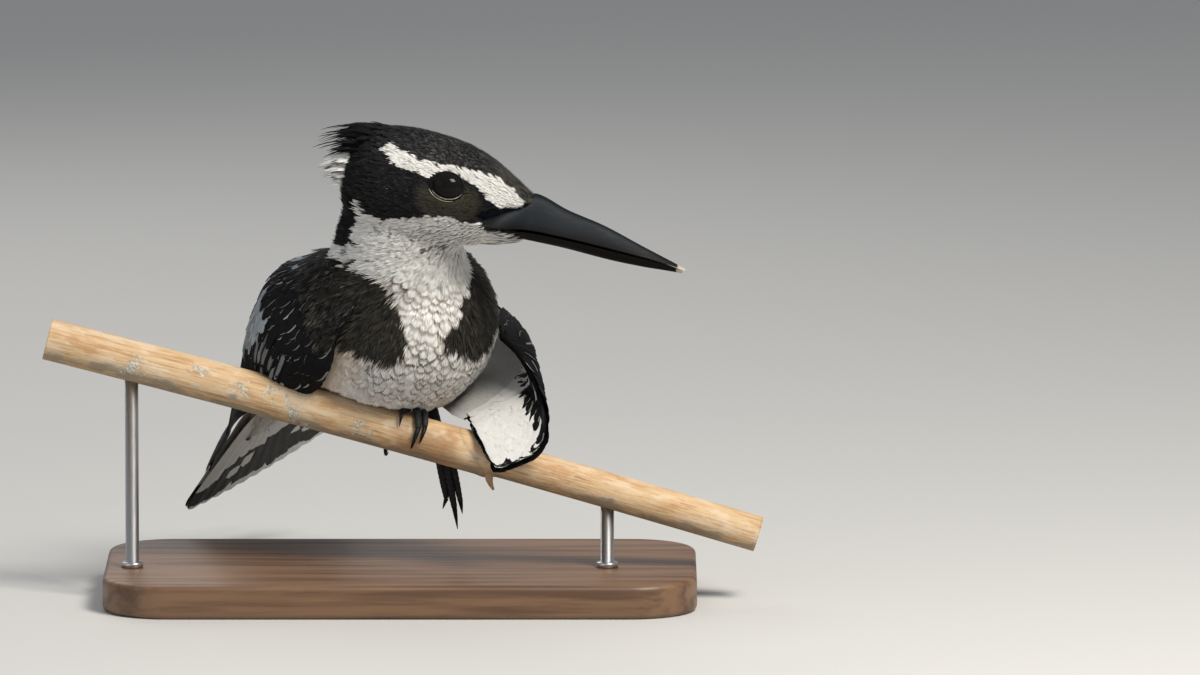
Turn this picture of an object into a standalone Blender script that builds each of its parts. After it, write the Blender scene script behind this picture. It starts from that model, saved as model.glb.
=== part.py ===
"""A pied kingfisher, life size, crouched on a cut length of dry cane on a plain display stand.

The bird faces the viewer and a little to its own left, with its head turned further left. It stretches
its left wing and left leg down, which spreads that side of the tail. Lengths below are in millimetres.
Headings are turns from straight at the viewer (-Y) towards +X, and pitches are slopes above level.
"""

import math

import bmesh
import bpy
import numpy as np
from mathutils import Vector

MM = 0.001

# Stand and perch
BASE_SIZE = (212.0, 112.0, 12.0)
BASE_CORNER = 24.0
BASE_EDGE = 2.0
ROD_RADIUS = 2.4
ROD_PLACES = (-96.0, 74.0)
PERCH_RADIUS = 7.4
PERCH_THIN_RADIUS = 6.4
PERCH_SLOPE = 15.5
PERCH_BEND = 0.00009
PERCH_REACH = (-126.0, 128.0)
PERCH_NODE = 32.0
GRIP = (0.0, -12.0, 61.0)

# Trunk, head and tail
TRUNK_CENTRE = (-4.8, 18.0, 37.8)
TRUNK_HEADING, TRUNK_PITCH, TRUNK_ROLL = 34.0, 35.0, -6.0
HEAD_CENTRE = (14.3, -24.0, 90.6)
HEAD_HEADING, HEAD_PITCH, HEAD_ROLL = 86.0, -15.0, 4.0
EYE_RADIUS = 6.6
EYE_DEPTH = 5.2
EYE_PLACE = (3.7, 5.7)
EYE_SIDE = 12.2
EYE_TILT = 12.0
TAIL_ROOT = (-62.0, -8.4, 6.2)
TAIL_PITCH, TAIL_ROLL = 41.5, 17.0
TAIL_LENGTH = 74.0
TAIL_HALF_BASE = 9.0
TAIL_FEATHERS = 12
TAIL_SPREAD = (-1.0, 43.5)

# Space between neighbours, the thinnest sheet, and the ends of claws
GAP = 0.3
SHEET = 1.2
CLAW_TIP = 0.27

FEATHER_BLACK = (0.02, 0.02, 0.022)
FEATHER_WHITE = (0.78, 0.77, 0.74)
HORN_BLACK = (0.015, 0.017, 0.02)
SKIN_BLACK = (0.03, 0.03, 0.032)
CANE_TAN = (0.68, 0.50, 0.31)
STAND_WOOD = (0.16, 0.09, 0.05)
STEEL = (0.55, 0.55, 0.56)


def finish(name, colour, roughness=0.7, metallic=0.0):
    """A material of one colour, made once."""
    material = bpy.data.materials.get(name)
    if material is None:
        material = bpy.data.materials.new(name)
        material.use_nodes = True
        shader = material.node_tree.nodes["Principled BSDF"]
        shader.inputs["Base Color"].default_value = (*colour, 1.0)
        shader.inputs["Roughness"].default_value = roughness
        shader.inputs["Metallic"].default_value = metallic
    return material


def direction(heading, pitch):
    """Unit vector at this heading and slope."""
    h, p = math.radians(heading), math.radians(pitch)
    return np.array([math.sin(h) * math.cos(p), -math.cos(h) * math.cos(p), math.sin(p)])


def unit(vector):
    """The vector at length one."""
    return np.asarray(vector, float) / np.linalg.norm(vector)


class Frame:
    """A bird part's own axes: forward, towards its left side, and up."""

    def __init__(self, centre, heading, pitch, roll=0.0):
        self.centre = np.asarray(centre, float)
        self.forward = direction(heading, pitch)
        left = unit(np.cross((0, 0, 1), self.forward))
        up = np.cross(self.forward, left)
        r = math.radians(roll)
        self.left = left * math.cos(r) + up * math.sin(r)
        self.up = up * math.cos(r) - left * math.sin(r)

    def at(self, forward, left=0.0, up=0.0):
        return self.centre + forward * self.forward + left * self.left + up * self.up


def smooth(knots, places):
    """Rows of numbers interpolated along their first column by a cubic that doesn't overshoot."""
    knots = np.asarray(knots, float)
    x, y = knots[:, 0], knots[:, 1:]
    step = np.diff(x)[:, None]
    slope = np.diff(y, axis=0) / step
    inner = np.where(slope[1:] * slope[:-1] > 0, (slope[1:] + slope[:-1]) / 2, 0)
    inner = np.sign(inner) * np.minimum(abs(inner), 3 * np.minimum(abs(slope[1:]), abs(slope[:-1])))
    tangent = np.vstack([slope[:1], inner, slope[-1:]])
    i = np.clip(np.searchsorted(x, places, side="right") - 1, 0, len(x) - 2)
    h = step[i, 0]
    t = (np.asarray(places) - x[i]) / h
    t2, t3 = t * t, t * t * t
    parts = (2 * t3 - 3 * t2 + 1, (t3 - 2 * t2 + t) * h, 3 * t2 - 2 * t3, (t3 - t2) * h)
    return sum(p[:, None] * v for p, v in zip(parts, (y[i], tangent[i], y[i + 1], tangent[i + 1])))


def solid(name, points, faces, material):
    """An object from points in millimetres, measured from the grip on the perch."""
    mesh = bpy.data.meshes.new(name)
    placed = (np.asarray(points, float) + np.array(GRIP)) * MM
    mesh.from_pydata(placed.tolist(), [], faces)
    mesh.materials.append(material)
    work = bmesh.new()
    work.from_mesh(mesh)
    bmesh.ops.remove_doubles(work, verts=work.verts, dist=0.01 * MM)
    bmesh.ops.recalc_face_normals(work, faces=work.faces)
    work.to_mesh(mesh)
    work.free()
    mesh.shade_smooth()
    obj = bpy.data.objects.new(name, mesh)
    bpy.context.scene.collection.objects.link(obj)
    return obj


def loft(name, rings, material):
    """A closed body through rings of equally many points, each end closed by a fan."""
    rings = np.asarray(rings, float)
    count, sides = rings.shape[:2]
    points = list(rings.reshape(-1, 3)) + [rings[0].mean(0), rings[-1].mean(0)]
    faces = []
    for i in range(count - 1):
        for j in range(sides):
            k = (j + 1) % sides
            faces.append((i * sides + j, i * sides + k, (i + 1) * sides + k))
            faces.append((i * sides + j, (i + 1) * sides + k, (i + 1) * sides + j))
    first, last = count * sides, count * sides + 1
    for j in range(sides):
        k = (j + 1) % sides
        faces.append((first, k, j))
        faces.append((last, (count - 1) * sides + j, (count - 1) * sides + k))
    return solid(name, points, faces, material)


def oval(centre, side, up, width, top, bottom, sides, grow=0.0):
    """A ring round centre, with its own reach to the side, above and below."""
    turn = np.linspace(0, 2 * math.pi, sides, endpoint=False)
    high = np.where(np.sin(turn) > 0, top + grow, bottom + grow) * np.sin(turn)
    return centre + np.outer((width + grow) * np.cos(turn), side) + np.outer(high, up)


def body_along(name, frame, knots, material, rings=16, sides=24, grow=0.0):
    """A body on a frame's own axis. A knot is its place along, half width, top and bottom."""
    knots = np.asarray(knots, float)
    along = np.linspace(knots[0, 0], knots[-1, 0], rings)
    sizes = smooth(knots, along)
    made = []
    for place, (width, top, bottom) in zip(along, sizes):
        middle = (top + bottom) / 2
        half = (top - bottom) / 2
        made.append(oval(frame.at(place, 0, middle), frame.left, frame.up, width, half, half, sides, grow))
    made[0] = made[0] + grow * (frame.forward if knots[0, 0] > knots[-1, 0] else -frame.forward)
    made[-1] = made[-1] + grow * (frame.forward if knots[-1, 0] > knots[0, 0] else -frame.forward)
    return loft(name, made, material)


def limb(name, path, radii, material, rings=10, sides=8, grow=0.0):
    """A round limb through points, with a radius at each."""
    path = np.asarray(path, float)
    reach = np.r_[0, np.cumsum(np.linalg.norm(np.diff(path, axis=0), axis=1))]
    places = np.linspace(0, reach[-1], rings)
    centres = smooth(np.column_stack([reach, path]), places)
    sizes = smooth(np.column_stack([reach, radii]), places)[:, 0]
    ways = np.gradient(centres, axis=0)
    side = unit(np.cross(ways[0], (0.31, 0.9, 0.17)))
    made = []
    for centre, way, size in zip(centres, ways, sizes):
        way = unit(way)
        side = unit(side - way * np.dot(side, way))
        made.append(oval(centre, side, np.cross(way, side), size, size, size, sides, grow))
    return loft(name, made, material)


def shell(name, surface, across, along, thickness, material, grow=0.0):
    """A closed sheet round surface(u, v), where thickness(u, v) is its full thickness."""
    us, vs = np.linspace(0, 1, across), np.linspace(0, 1, along)
    middle = np.array([[surface(u, v) for v in vs] for u in us])
    du, dv = np.gradient(middle, axis=0), np.gradient(middle, axis=1)
    normal = np.cross(du, dv)
    normal /= np.maximum(np.linalg.norm(normal, axis=2, keepdims=True), 1e-9)
    half = np.array([[thickness(u, v) / 2 + grow for v in vs] for u in us])[..., None]
    two_sides = [(middle + sign * normal * half).reshape(-1, 3) for sign in (1, -1)]
    points = np.concatenate(two_sides)
    back = across * along
    faces = []
    for i in range(across - 1):
        for j in range(along - 1):
            a, b, c, d = i * along + j, (i + 1) * along + j, (i + 1) * along + j + 1, i * along + j + 1
            faces += [(a, b, c), (a, c, d), (a + back, c + back, b + back), (a + back, d + back, c + back)]
    rim = [(i, 0) for i in range(across)] + [(across - 1, j) for j in range(1, along)]
    rim += [(i, along - 1) for i in range(across - 2, -1, -1)] + [(0, j) for j in range(along - 2, 0, -1)]
    rim = [i * along + j for i, j in rim]
    for a, b in zip(rim, rim[1:] + rim[:1]):
        faces += [(a, a + back, b + back), (a, b + back, b)]
    return solid(name, points, faces, material)


def as_cutter(obj):
    """Keeps the body in the file only to cut others with."""
    obj.hide_render = True
    obj.display_type = "WIRE"
    return obj


def cut(obj, cutter):
    """Takes the cutter's space away from the body."""
    modifier = obj.modifiers.new("clear_of_" + cutter.name, "BOOLEAN")
    modifier.operation = "DIFFERENCE"
    modifier.solver = "EXACT"
    modifier.object = cutter


def apply_cuts(obj):
    """Applies the Booleans, and drops slivers that they left apart from the main body."""
    graph = bpy.context.evaluated_depsgraph_get()
    mesh = bpy.data.meshes.new_from_object(obj.evaluated_get(graph))
    obj.modifiers.clear()
    obj.data = mesh
    work = bmesh.new()
    work.from_mesh(mesh)
    left = set(work.verts)
    groups = []
    while left:
        todo = [left.pop()]
        group = list(todo)
        while todo:
            for edge in todo.pop().link_edges:
                for vert in edge.verts:
                    if vert in left:
                        left.remove(vert)
                        group.append(vert)
                        todo.append(vert)
        groups.append(group)
    groups.sort(key=len)
    bmesh.ops.delete(work, geom=[v for g in groups[:-1] for v in g], context="VERTS")
    work.to_mesh(mesh)
    work.free()


TRUNK = Frame(TRUNK_CENTRE, TRUNK_HEADING, TRUNK_PITCH, TRUNK_ROLL)
HEAD = Frame(HEAD_CENTRE, HEAD_HEADING, HEAD_PITCH, HEAD_ROLL)
TAIL = Frame(TRUNK.at(*TAIL_ROOT), TRUNK_HEADING, TAIL_PITCH, TAIL_ROLL)

# place along, half width, top, bottom
TRUNK_KNOTS = (
    (-68, 6, 7, -4), (-60, 11.5, 10.5, -9), (-47, 20.5, 14, -17), (-30, 29.5, 21, -27),
    (-12, 35, 27.5, -34.5),
    (6, 36.5, 29, -38), (20, 33.5, 25, -36.5), (33, 26.5, 18, -30), (42, 17.5, 10, -21), (48, 7, 2, -9),
)
HEAD_KNOTS = (
    (-33, 4, 4, -9), (-30.5, 9.5, 10.5, -16), (-25, 14, 16.6, -20), (-16, 16.8, 19.4, -21.5),
    (-3, 17.2, 20, -21),
    (8, 16.2, 19, -19.5), (17, 14, 16.2, -17), (25, 11, 12.4, -13.8), (31, 8.4, 9.2, -11.4),
    (35, 6.6, 7.2, -9.8),
)
UPPER_BILL_KNOTS = (
    (15, 9.6, -3.5, -6.2), (20, 9.8, -1.5, -6.4), (27, 9.0, 3, -5.6), (34, 7.4, 7.9, -4.6),
    (46, 5.9, 5.2, -4.0),
    (60, 4.5, 3.2, -3.8), (75, 2.9, -0.3, -3.8), (87, 1.5, -3.0, -4.2), (92, 0.6, -4.2, -4.9),
)
LOWER_BILL_KNOTS = (
    (15, 9.0, -6.6, -8.6), (20, 9.2, -6.8, -9.0), (27, 8.5, -6.0, -9.5), (35, 7.0, -5.0, -9.1),
    (49, 5.5, -4.4, -8.4), (63, 4.2, -4.2, -8.3), (77, 2.7, -4.2, -7.5), (87, 1.4, -4.7, -6.4),
    (91, 0.6, -5.3, -6.0),
)
NECK_KNOTS = (
    (1.5, -19.0, 84.0, 19.5, 15.0), (0.6, -16.0, 73.0, 22.3, 17.5), (0.5, -10.0, 62.0, 24.5, 20.5),
    (0.0, -3.0, 52.0, 29.0, 24.0), (-1.0, 4.0, 43.0, 32.0, 27.0),
)


def eye(side, name, grow=0.0):
    """A flattened eyeball, set into the side of the head. side is 1 for the left."""
    tilt = math.radians(EYE_TILT)
    out = side * HEAD.left * math.cos(tilt) + HEAD.up * math.sin(tilt)
    up = np.cross(HEAD.forward, out) * side
    centre = HEAD.at(EYE_PLACE[0], side * EYE_SIDE, EYE_PLACE[1])
    rings = []
    for a in np.linspace(-math.pi / 2, math.pi / 2, 9)[1:-1]:
        middle = centre + out * (EYE_DEPTH + grow) * math.sin(a)
        size = (EYE_RADIUS + grow) * math.cos(a)
        rings.append(oval(middle, HEAD.forward, up, size, size, size, 14))
    return loft(name, rings, finish("eye", (0.01, 0.008, 0.006), 0.05))


def upper_bill(name, grow=0.0):
    """The upper half of the bill, with its root inside the head."""
    return body_along(name, HEAD, UPPER_BILL_KNOTS, finish("horn", HORN_BLACK, 0.3), 12, 12, grow)


def lower_bill(name, grow=0.0):
    """The lower half of the bill, a gap below the upper."""
    return body_along(name, HEAD, LOWER_BILL_KNOTS, finish("horn", HORN_BLACK, 0.3), 12, 12, grow)


def head(name, grow=0.0):
    """The skull with its feathers, from nape to bill."""
    return body_along(name, HEAD, HEAD_KNOTS, finish("black_feather", FEATHER_BLACK), 13, 18, grow)


# Along the tips of the crest, from its top: share of the way, then the place on the head's own axes
CREST_TIPS = (
    (0.0, -38.5, 13.5), (0.2, -46.8, 10.0), (0.5, -46.4, 1.0), (0.8, -41.0, -7.0), (1.0, -34.0, -10.0),
)
CREST_PLUMES = 6


def crest(name, grow=0.0):
    """Long plumes raised off the back of the crown, as one ragged wedge."""

    def surface(u, v):
        forward, rise = smooth(CREST_TIPS, [u])[0]
        notch = 0.12 * abs(math.cos(CREST_PLUMES * math.pi * u)) ** 2
        start = HEAD.at(-22 - 5 * u, 0, 12 - 18 * u)
        tip = HEAD.at(forward, 0, rise)
        return start + (tip - start) * (v * (1 - notch) + grow * 0.04 * v)

    def thickness(u, v):
        return 12.0 * (1 - v) ** 0.9 * (0.55 + 0.45 * math.sin(math.pi * u)) + 0.9

    return shell(name, surface, 19, 5, thickness, finish("black_feather", FEATHER_BLACK), grow)


def neck(name, grow=0.0):
    """The thick neck, from inside the head down into the shoulders."""
    knots = np.asarray(NECK_KNOTS, float)
    along = np.linspace(0, 1, 7)
    rows = smooth(np.column_stack([np.linspace(0, 1, len(knots)), knots]), along)
    ways = np.gradient(rows[:, :3], axis=0)
    rings = []
    for row, way in zip(rows, ways):
        side = unit(np.cross((0, -1, 0), way))
        up = unit(np.cross(way, side))
        rings.append(oval(row[:3], side, up, row[3], row[4], row[4], 16, grow))
    return loft(name, rings, finish("white_feather", FEATHER_WHITE))


def trunk(name, grow=0.0):
    """The body with its feathers, from breast to vent."""
    return body_along(name, TRUNK, TRUNK_KNOTS, finish("white_feather", FEATHER_WHITE), 13, 18, grow)


def outside_trunk(point, clearance):
    """The point itself, or the place just outside the trunk if it lies inside."""
    away = point - TRUNK.centre
    along, side, rise = away @ TRUNK.forward, away @ TRUNK.left, away @ TRUNK.up
    if not TRUNK_KNOTS[0][0] < along < TRUNK_KNOTS[-1][0]:
        return point
    width, top, bottom = smooth(TRUNK_KNOTS, [along])[0]
    middle = (top + bottom) / 2
    half = (top - bottom) / 2
    depth = math.hypot(side / (width + clearance), (rise - middle) / (half + clearance))
    if depth >= 1:
        return point
    return TRUNK.at(along, side / depth, middle + (rise - middle) / depth)


# Folded right wing, on the trunk's axes: place along, out to the right, up, half chord, lean, bow, and the
# degrees by which its lower edge tucks under
RIGHT_WING_KNOTS = (
    (33, 28, 0, 6.5, 4, 36, 0), (27, 31.5, 1, 12, 8, 44, 0), (17, 36.5, 3.6, 17.2, 14, 52, 4),
    (6, 42, 5, 22, 17, 57, 12), (-3, 46, 7.7, 21.6, 18, 60, 26), (-13, 45.6, 5, 19.5, 18, 56, 20),
    (-24, 43, 5, 16, 22, 50, 7), (-37, 38, 3.2, 14.4, 32, 40, 0), (-48, 35, 1, 12, 37, 29, 0),
    (-62, 30, 0.5, 10, 39, 20, 0), (-76, 24.5, 0.3, 8, 39, 14, 0), (-92, 22, -0.5, 5.5, 39, 9, 0),
    (-104, 19.6, -1.5, 3, 39, 6, 0), (-110, 18.2, -2, 1.4, 39, 4, 0),
)
ARM_END = 0.36
FLIGHT_START = ARM_END + 0.003
# Full and least thickness of the arm, and of the flight feathers behind it
RIGHT_ARM_THICKNESS = (6.5, 1.4)
RIGHT_FLIGHT_THICKNESS = (5.0, 1.3)


def right_wing_point(s, c, clearance=0.0):
    """A point on the folded right wing: s runs from wrist to tip, and c from its lower edge to its upper."""
    knots = np.asarray(RIGHT_WING_KNOTS, float)[::-1]
    along = knots[-1, 0] + s * (knots[0, 0] - knots[-1, 0])
    out, up, chord, lean, bow, tuck = smooth(knots, [along])[0]
    radius = chord / math.sin(math.radians(bow))
    turn = math.radians(lean + (2 * c - 1) * bow - tuck * (1 - c) ** 2)
    lean = math.radians(lean)
    side = -(out + radius * (math.cos(turn) - math.cos(lean)))
    rise = up + radius * (math.sin(turn) - math.sin(lean))
    return outside_trunk(TRUNK.at(along, side, rise), clearance)


def right_wing(name, start, end, sizes, grow=0.0):
    """A stretch of the folded wing, thicker over the arm."""
    full, fine = sizes
    step = grow / (RIGHT_WING_KNOTS[0][0] - RIGHT_WING_KNOTS[-1][0])

    def thickness(u, v):
        s = start + (end - start) * v
        return fine + (full - fine) * max(0.0, 1 - s / 0.7) * math.sin(math.pi * (0.06 + 0.88 * u)) ** 0.6

    def surface(u, v):
        s = start - step + (end - start + 2 * step) * v
        return right_wing_point(s, u, thickness(u, v) / 2 + 2 * GAP)

    return shell(name, surface, 9, 10, thickness, finish("black_feather", FEATHER_BLACK), grow)


# Stretched left wing. Each rib runs back from the front edge: its share of the way from shoulder to wrist,
# then its points at the distances of RIB_STEPS.
RIB_STEPS = (0.0, 26.0, 62.0, 126.0)
LEFT_RIBS = (
    (0.00, (34.0, 9.0, 34.5), (37.0, 32.0, 38.0), (18.0, 58.0, 26.0), (-15.0, 95.0, 0.0)),
    (0.25, (44.0, -1.0, 26.0), (43.0, 24.5, 32.0), (27.0, 54.5, 28.5), (-6.0, 98.0, 15.0)),
    (0.50, (50.5, -8.5, 12.5), (45.5, 15.5, 21.0), (31.0, 47.5, 26.0), (1.0, 101.0, 22.0)),
    (0.72, (51.5, -14.0, 3.5), (41.0, 7.5, 14.0), (26.5, 40.0, 20.0), (1.0, 97.0, 21.0)),
    (0.88, (47.0, -18.5, -5.5), (33.0, 2.0, 7.5), (20.0, 36.0, 14.0), (-4.0, 94.0, 18.0)),
    (1.00, (35.5, -20.5, -10.5), (26.0, -0.8, 4.0), (14.5, 33.0, 9.6), (-9.0, 91.0, 15.0)),
)
SECONDARY_LENGTH = 68.0
PRIMARY_LENGTH = 124.0
PRIMARY_SLOPE = 26.0
ARM_DEPTH = 30.0
HAND_START = 0.78


def left_wing_point(s, c, clearance=0.0):
    """A point on the stretched wing: s runs from shoulder to wrist, and c back from its front edge."""
    rows = np.array([[rib[0], *np.ravel(rib[1:])] for rib in LEFT_RIBS])
    rib = smooth(rows, [s])[0].reshape(-1, 3)
    point = smooth(np.column_stack([RIB_STEPS, rib]), [c])[0]
    return outside_trunk(point, clearance)


def left_arm(name, grow=0.0):
    """The arm and its coverts, from shoulder to wrist."""

    def thickness(u, v):
        return 1.8 + 3.4 * math.sin(math.pi * (0.13 + 0.8 * v)) * math.sin(math.pi * (0.14 + 0.72 * u)) ** 0.5

    def surface(u, v):
        return left_wing_point(u, (ARM_DEPTH + 2 * grow) * v - grow, thickness(u, v) / 2 + 2 * GAP)

    return shell(name, surface, 13, 7, thickness, finish("white_feather", FEATHER_WHITE), grow)


def left_secondaries(name, grow=0.0):
    """The feathers of the forearm, reaching back along the flank."""

    def thickness(u, v):
        return 1.9 - 0.7 * v

    def surface(u, v):
        s = (HAND_START - GAP / 60) * u
        reach = SECONDARY_LENGTH * (0.93 + 0.07 * math.sin(math.pi * u))
        start = ARM_DEPTH + GAP
        return left_wing_point(s, start + (reach - start + grow) * v, thickness(u, v) / 2 + 2 * GAP)

    return shell(name, surface, 10, 6, thickness, finish("black_feather", FEATHER_BLACK), grow)


def left_primaries(name, grow=0.0):
    """The feathers of the hand, reaching back from the wrist and drawn together at the tip."""

    def thickness(u, v):
        return 2.5 - 1.3 * v

    def surface(u, v):
        start = ARM_DEPTH + GAP
        reach = start + (PRIMARY_LENGTH - start - PRIMARY_SLOPE * (1 - u) ** 1.5) * v
        s = HAND_START + (1 - HAND_START) * u
        s = s + (0.9 - s) * 0.5 * v * v
        return left_wing_point(s, reach, thickness(u, v) / 2 + 2 * GAP)

    return shell(name, surface, 7, 10, thickness, finish("black_feather", FEATHER_BLACK), grow)


def tail_point(turn, share, reach):
    """A point of the fanned tail: degrees to its left, share across its base, and reach from there."""
    t = math.radians(turn)
    return TAIL.at(-reach * math.cos(t), (2 * share - 1) * TAIL_HALF_BASE + reach * math.sin(t))


def tail(name, grow=0.0):
    """The fan of tail feathers, with a rounded end on each."""

    def surface(u, v):
        turn = TAIL_SPREAD[0] + (TAIL_SPREAD[1] - TAIL_SPREAD[0]) * u
        notch = 1 - 0.028 * abs(math.cos(TAIL_FEATHERS / 2 * math.pi * u)) ** 3
        return tail_point(turn, u, (TAIL_LENGTH * notch + grow) * v)

    def thickness(u, v):
        return 5.0 * (1 - v) ** 2 + SHEET

    return shell(name, surface, 25, 5, thickness, finish("white_feather", FEATHER_WHITE), grow)


RUMP_KNOTS = ((-30, 6, 1.4, -2), (-20, 10.5, 3, -4.2), (-6, 12.5, 6, -8), (10, 16, 10, -12), (20, 12, 8, -10))


def rump(name, grow=0.0):
    """The coverts that close the trunk onto the tail."""
    return body_along(name, TAIL, RUMP_KNOTS, finish("white_feather", FEATHER_WHITE), 7, 14, grow)


def perch_frame(x):
    """The perch's axis at x: its place, and its along, front and top directions."""
    fall = math.tan(math.radians(PERCH_SLOPE))
    centre = np.array([x, 0.0, -fall * x - PERCH_BEND * x * x])
    along = unit((1.0, 0.0, -fall - 2 * PERCH_BEND * x))
    return centre, along, np.array([0.0, -1.0, 0.0]), np.cross((0.0, -1.0, 0.0), along)


def perch_radius(x):
    """The cane is thinner past its node, and swells a little at the node."""
    thin = 1 / (1 + math.exp(-(x - PERCH_NODE) / 1.2))
    swell = 0.7 * math.exp(-((x - PERCH_NODE) / 2.4) ** 2)
    return PERCH_RADIUS + (PERCH_THIN_RADIUS - PERCH_RADIUS) * thin + swell


def on_perch(x, turn, away):
    """A point this far outside the perch. turn is 0 at its front and 90 at its top, in degrees."""
    centre, _, front, top = perch_frame(x)
    t = math.radians(turn)
    return centre + (perch_radius(x) + away) * (front * math.cos(t) + top * math.sin(t))


# name, place along the perch at root and end, turn at root and end, radius, turn of the claw
RIGHT_TOES = (
    ("inner", 0.8, -1.6, 88, 58, 1.35, 34), ("middle", 3.2, 5.4, 88, 26, 1.6, 52),
    ("outer", 6.0, 7.6, 88, 34, 1.4, 40), ("hind", 2.0, -3.5, 108, 214, 1.45, 66),
)


def right_toe(name, toe, grow=0.0):
    """A toe bent over the perch."""
    _, start, end, first, last, size, _ = toe
    path = []
    for k in np.linspace(0, 1, 5):
        path.append(on_perch(start + (end - start) * k, first + (last - first) * k, GAP + size * 1.05))
    sizes = [size, size * 1.05, size * 0.92, size * 0.95, size * 0.72]
    return limb(name, path, sizes, finish("foot_skin", SKIN_BLACK, 0.5), 7, 6, grow)


def right_claw(name, toe, grow=0.0):
    """A curved claw past the end of its toe."""
    _, start, end, first, last, size, bend = toe
    way = math.copysign(1, last - first)
    path = []
    for k in np.linspace(0, 1, 5):
        away = GAP + size * 1.1 * (1 - k) + 1.3 * math.sin(math.pi * k) + 0.3
        path.append(on_perch(end - 0.25 * (end - start) * k, last + way * (2.5 + bend * k), away))
    sizes = [size * 0.74, size * 0.7, size * 0.56, size * 0.4, CLAW_TIP]
    return limb(name, path, sizes, finish("horn", HORN_BLACK, 0.3), 7, 6, grow)


# Radii of a lower leg at the hip, in the middle and at the foot
LEG_RADII = (2.6, 2.2, 2.9)
HIP_RIGHT = (2.0, 5.0, 17.0)
ANKLE_RIGHT = on_perch(3.2, 96, 2.9)
# The left leg hangs behind the perch: where it leaves the belly, the ball of the foot, and the toes.
# name, place of its root from the ball, end of the toe, tip of the claw, radius
HIP_LEFT = (8.8, 15.0, 14.0)
BALL_LEFT = (15.6, 13.4, -10.5)
LEFT_TOES = (
    ("inner", (-2.3, 0.2, 0.0), (16.3, 12.9, -26.0), (15.0, 11.6, -29.6), 1.45),
    ("middle", (0.0, 0.0, 0.0), (19.2, 12.8, -29.5), (20.3, 11.8, -37.0), 1.6),
    ("outer", (2.3, 0.4, 0.0), (21.4, 13.3, -27.5), (22.0, 12.2, -31.5), 1.4),
    ("hind", (0.4, 3.6, 1.5), (15.0, 19.5, -15.0), (15.6, 18.8, -20.0), 1.35),
)


def left_toe(name, toe, grow=0.0):
    """A toe that hangs from the ball of the foot."""
    _, offset, end, _, size = toe
    start = np.array(BALL_LEFT) + np.array(offset)
    path = [start, start * 0.6 + np.array(end) * 0.4, start * 0.25 + np.array(end) * 0.75, end]
    sizes = [size, size * 1.02, size * 0.95, size * 0.7]
    return limb(name, path, sizes, finish("foot_skin", SKIN_BLACK, 0.5), 7, 6, grow)


def left_claw(name, toe, grow=0.0):
    """A hanging claw, bowed a little like its toe."""
    _, _, end, tip, size = toe
    start, tip = np.array(end, float), np.array(tip, float)
    way = unit(tip - start)
    bow = np.array((0.0, 0.9, 0.0)) if toe[0] != "hind" else np.array((0.0, -0.5, 0.0))
    start = start + way * 0.55
    path = [start, start * 0.55 + tip * 0.45 + bow, tip]
    return limb(name, path, [size * 0.68, size * 0.5, CLAW_TIP], finish("horn", HORN_BLACK, 0.3), 6, 6, grow)


def leg(name, hip, ankle, grow=0.0):
    """The scaled lower leg, from inside the belly's feathers down to the foot."""
    path = [np.array(hip) + (np.array(ankle) - np.array(hip)) * k for k in (0, 0.5, 1)]
    return limb(name, path, LEG_RADII, finish("foot_skin", SKIN_BLACK, 0.5), 6, 8, grow)


# Rings of the mesh about the cane's node, and the next ones away from it
NODE_RINGS = (-4.0, -2.0, 0.0, 2.0, 4.0)
NODE_CLEAR = 9.0
# The spur at the node: place past the node, turn round the cane, height above it, radius
BUD = ((1.0, -42, -1.6, 2.2), (1.5, -52, 1.0, 1.5), (2.6, -62, 3.0, 0.95), (4.2, -70, 4.8, 0.4))


def perch(name, grow=0.0):
    """A cut length of dry cane with one node."""
    start, end = PERCH_REACH
    before = np.linspace(start, PERCH_NODE - NODE_CLEAR, 8)
    after = np.linspace(PERCH_NODE + NODE_CLEAR, end, 5)
    places = np.r_[before, PERCH_NODE + np.array(NODE_RINGS), after]
    rings = []
    for x in places:
        centre, _, front, top = perch_frame(x)
        size = perch_radius(x)
        rings.append(oval(centre, front, top, size, size, size, 14, grow))
    return loft(name, rings, finish("cane", CANE_TAN, 0.6))


def bud(name, grow=0.0):
    """The small dry spur at the cane's node."""
    path = [on_perch(PERCH_NODE + x, turn, away) for x, turn, away, _ in BUD]
    return limb(name, path, [row[3] for row in BUD], finish("cane", CANE_TAN, 0.6), 6, 6, grow)


def stand_base(name, grow=0.0):
    """A flat plate with round corners and eased edges."""
    length, width, height = BASE_SIZE
    corner = []
    for k, (sx, sy) in enumerate(((1, 1), (-1, 1), (-1, -1), (1, -1))):
        x, y = sx * (length / 2 - BASE_CORNER), sy * (width / 2 - BASE_CORNER)
        for a in np.radians(np.linspace(90 * k, 90 * k + 90, 7)):
            corner.append((x, y, math.cos(a), math.sin(a)))
    outline = np.array(corner)
    rings = []
    for inset, z in ((BASE_EDGE, 0), (0, BASE_EDGE), (0, height - BASE_EDGE), (BASE_EDGE, height)):
        flat = outline[:, :2] + outline[:, 2:] * (BASE_CORNER - inset)
        rings.append(np.column_stack([flat, np.full(len(flat), z)]) - np.array(GRIP))
    return loft(name, rings, finish("stand_wood", STAND_WOOD, 0.4))


def stand_rod(name, place, grow=0.0):
    """A short round rod from the base up to the underside of the perch."""
    rings = []
    for z in (BASE_SIZE[2] - GRIP[2] + GAP, perch_frame(place)[0][2]):
        centre = np.array((place, 0.0, z))
        rings.append(oval(centre, (1, 0, 0), (0, 1, 0), ROD_RADIUS, ROD_RADIUS, ROD_RADIUS, 16, grow))
    return loft(name, rings, finish("steel", STEEL, 0.3, 1.0))


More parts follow.
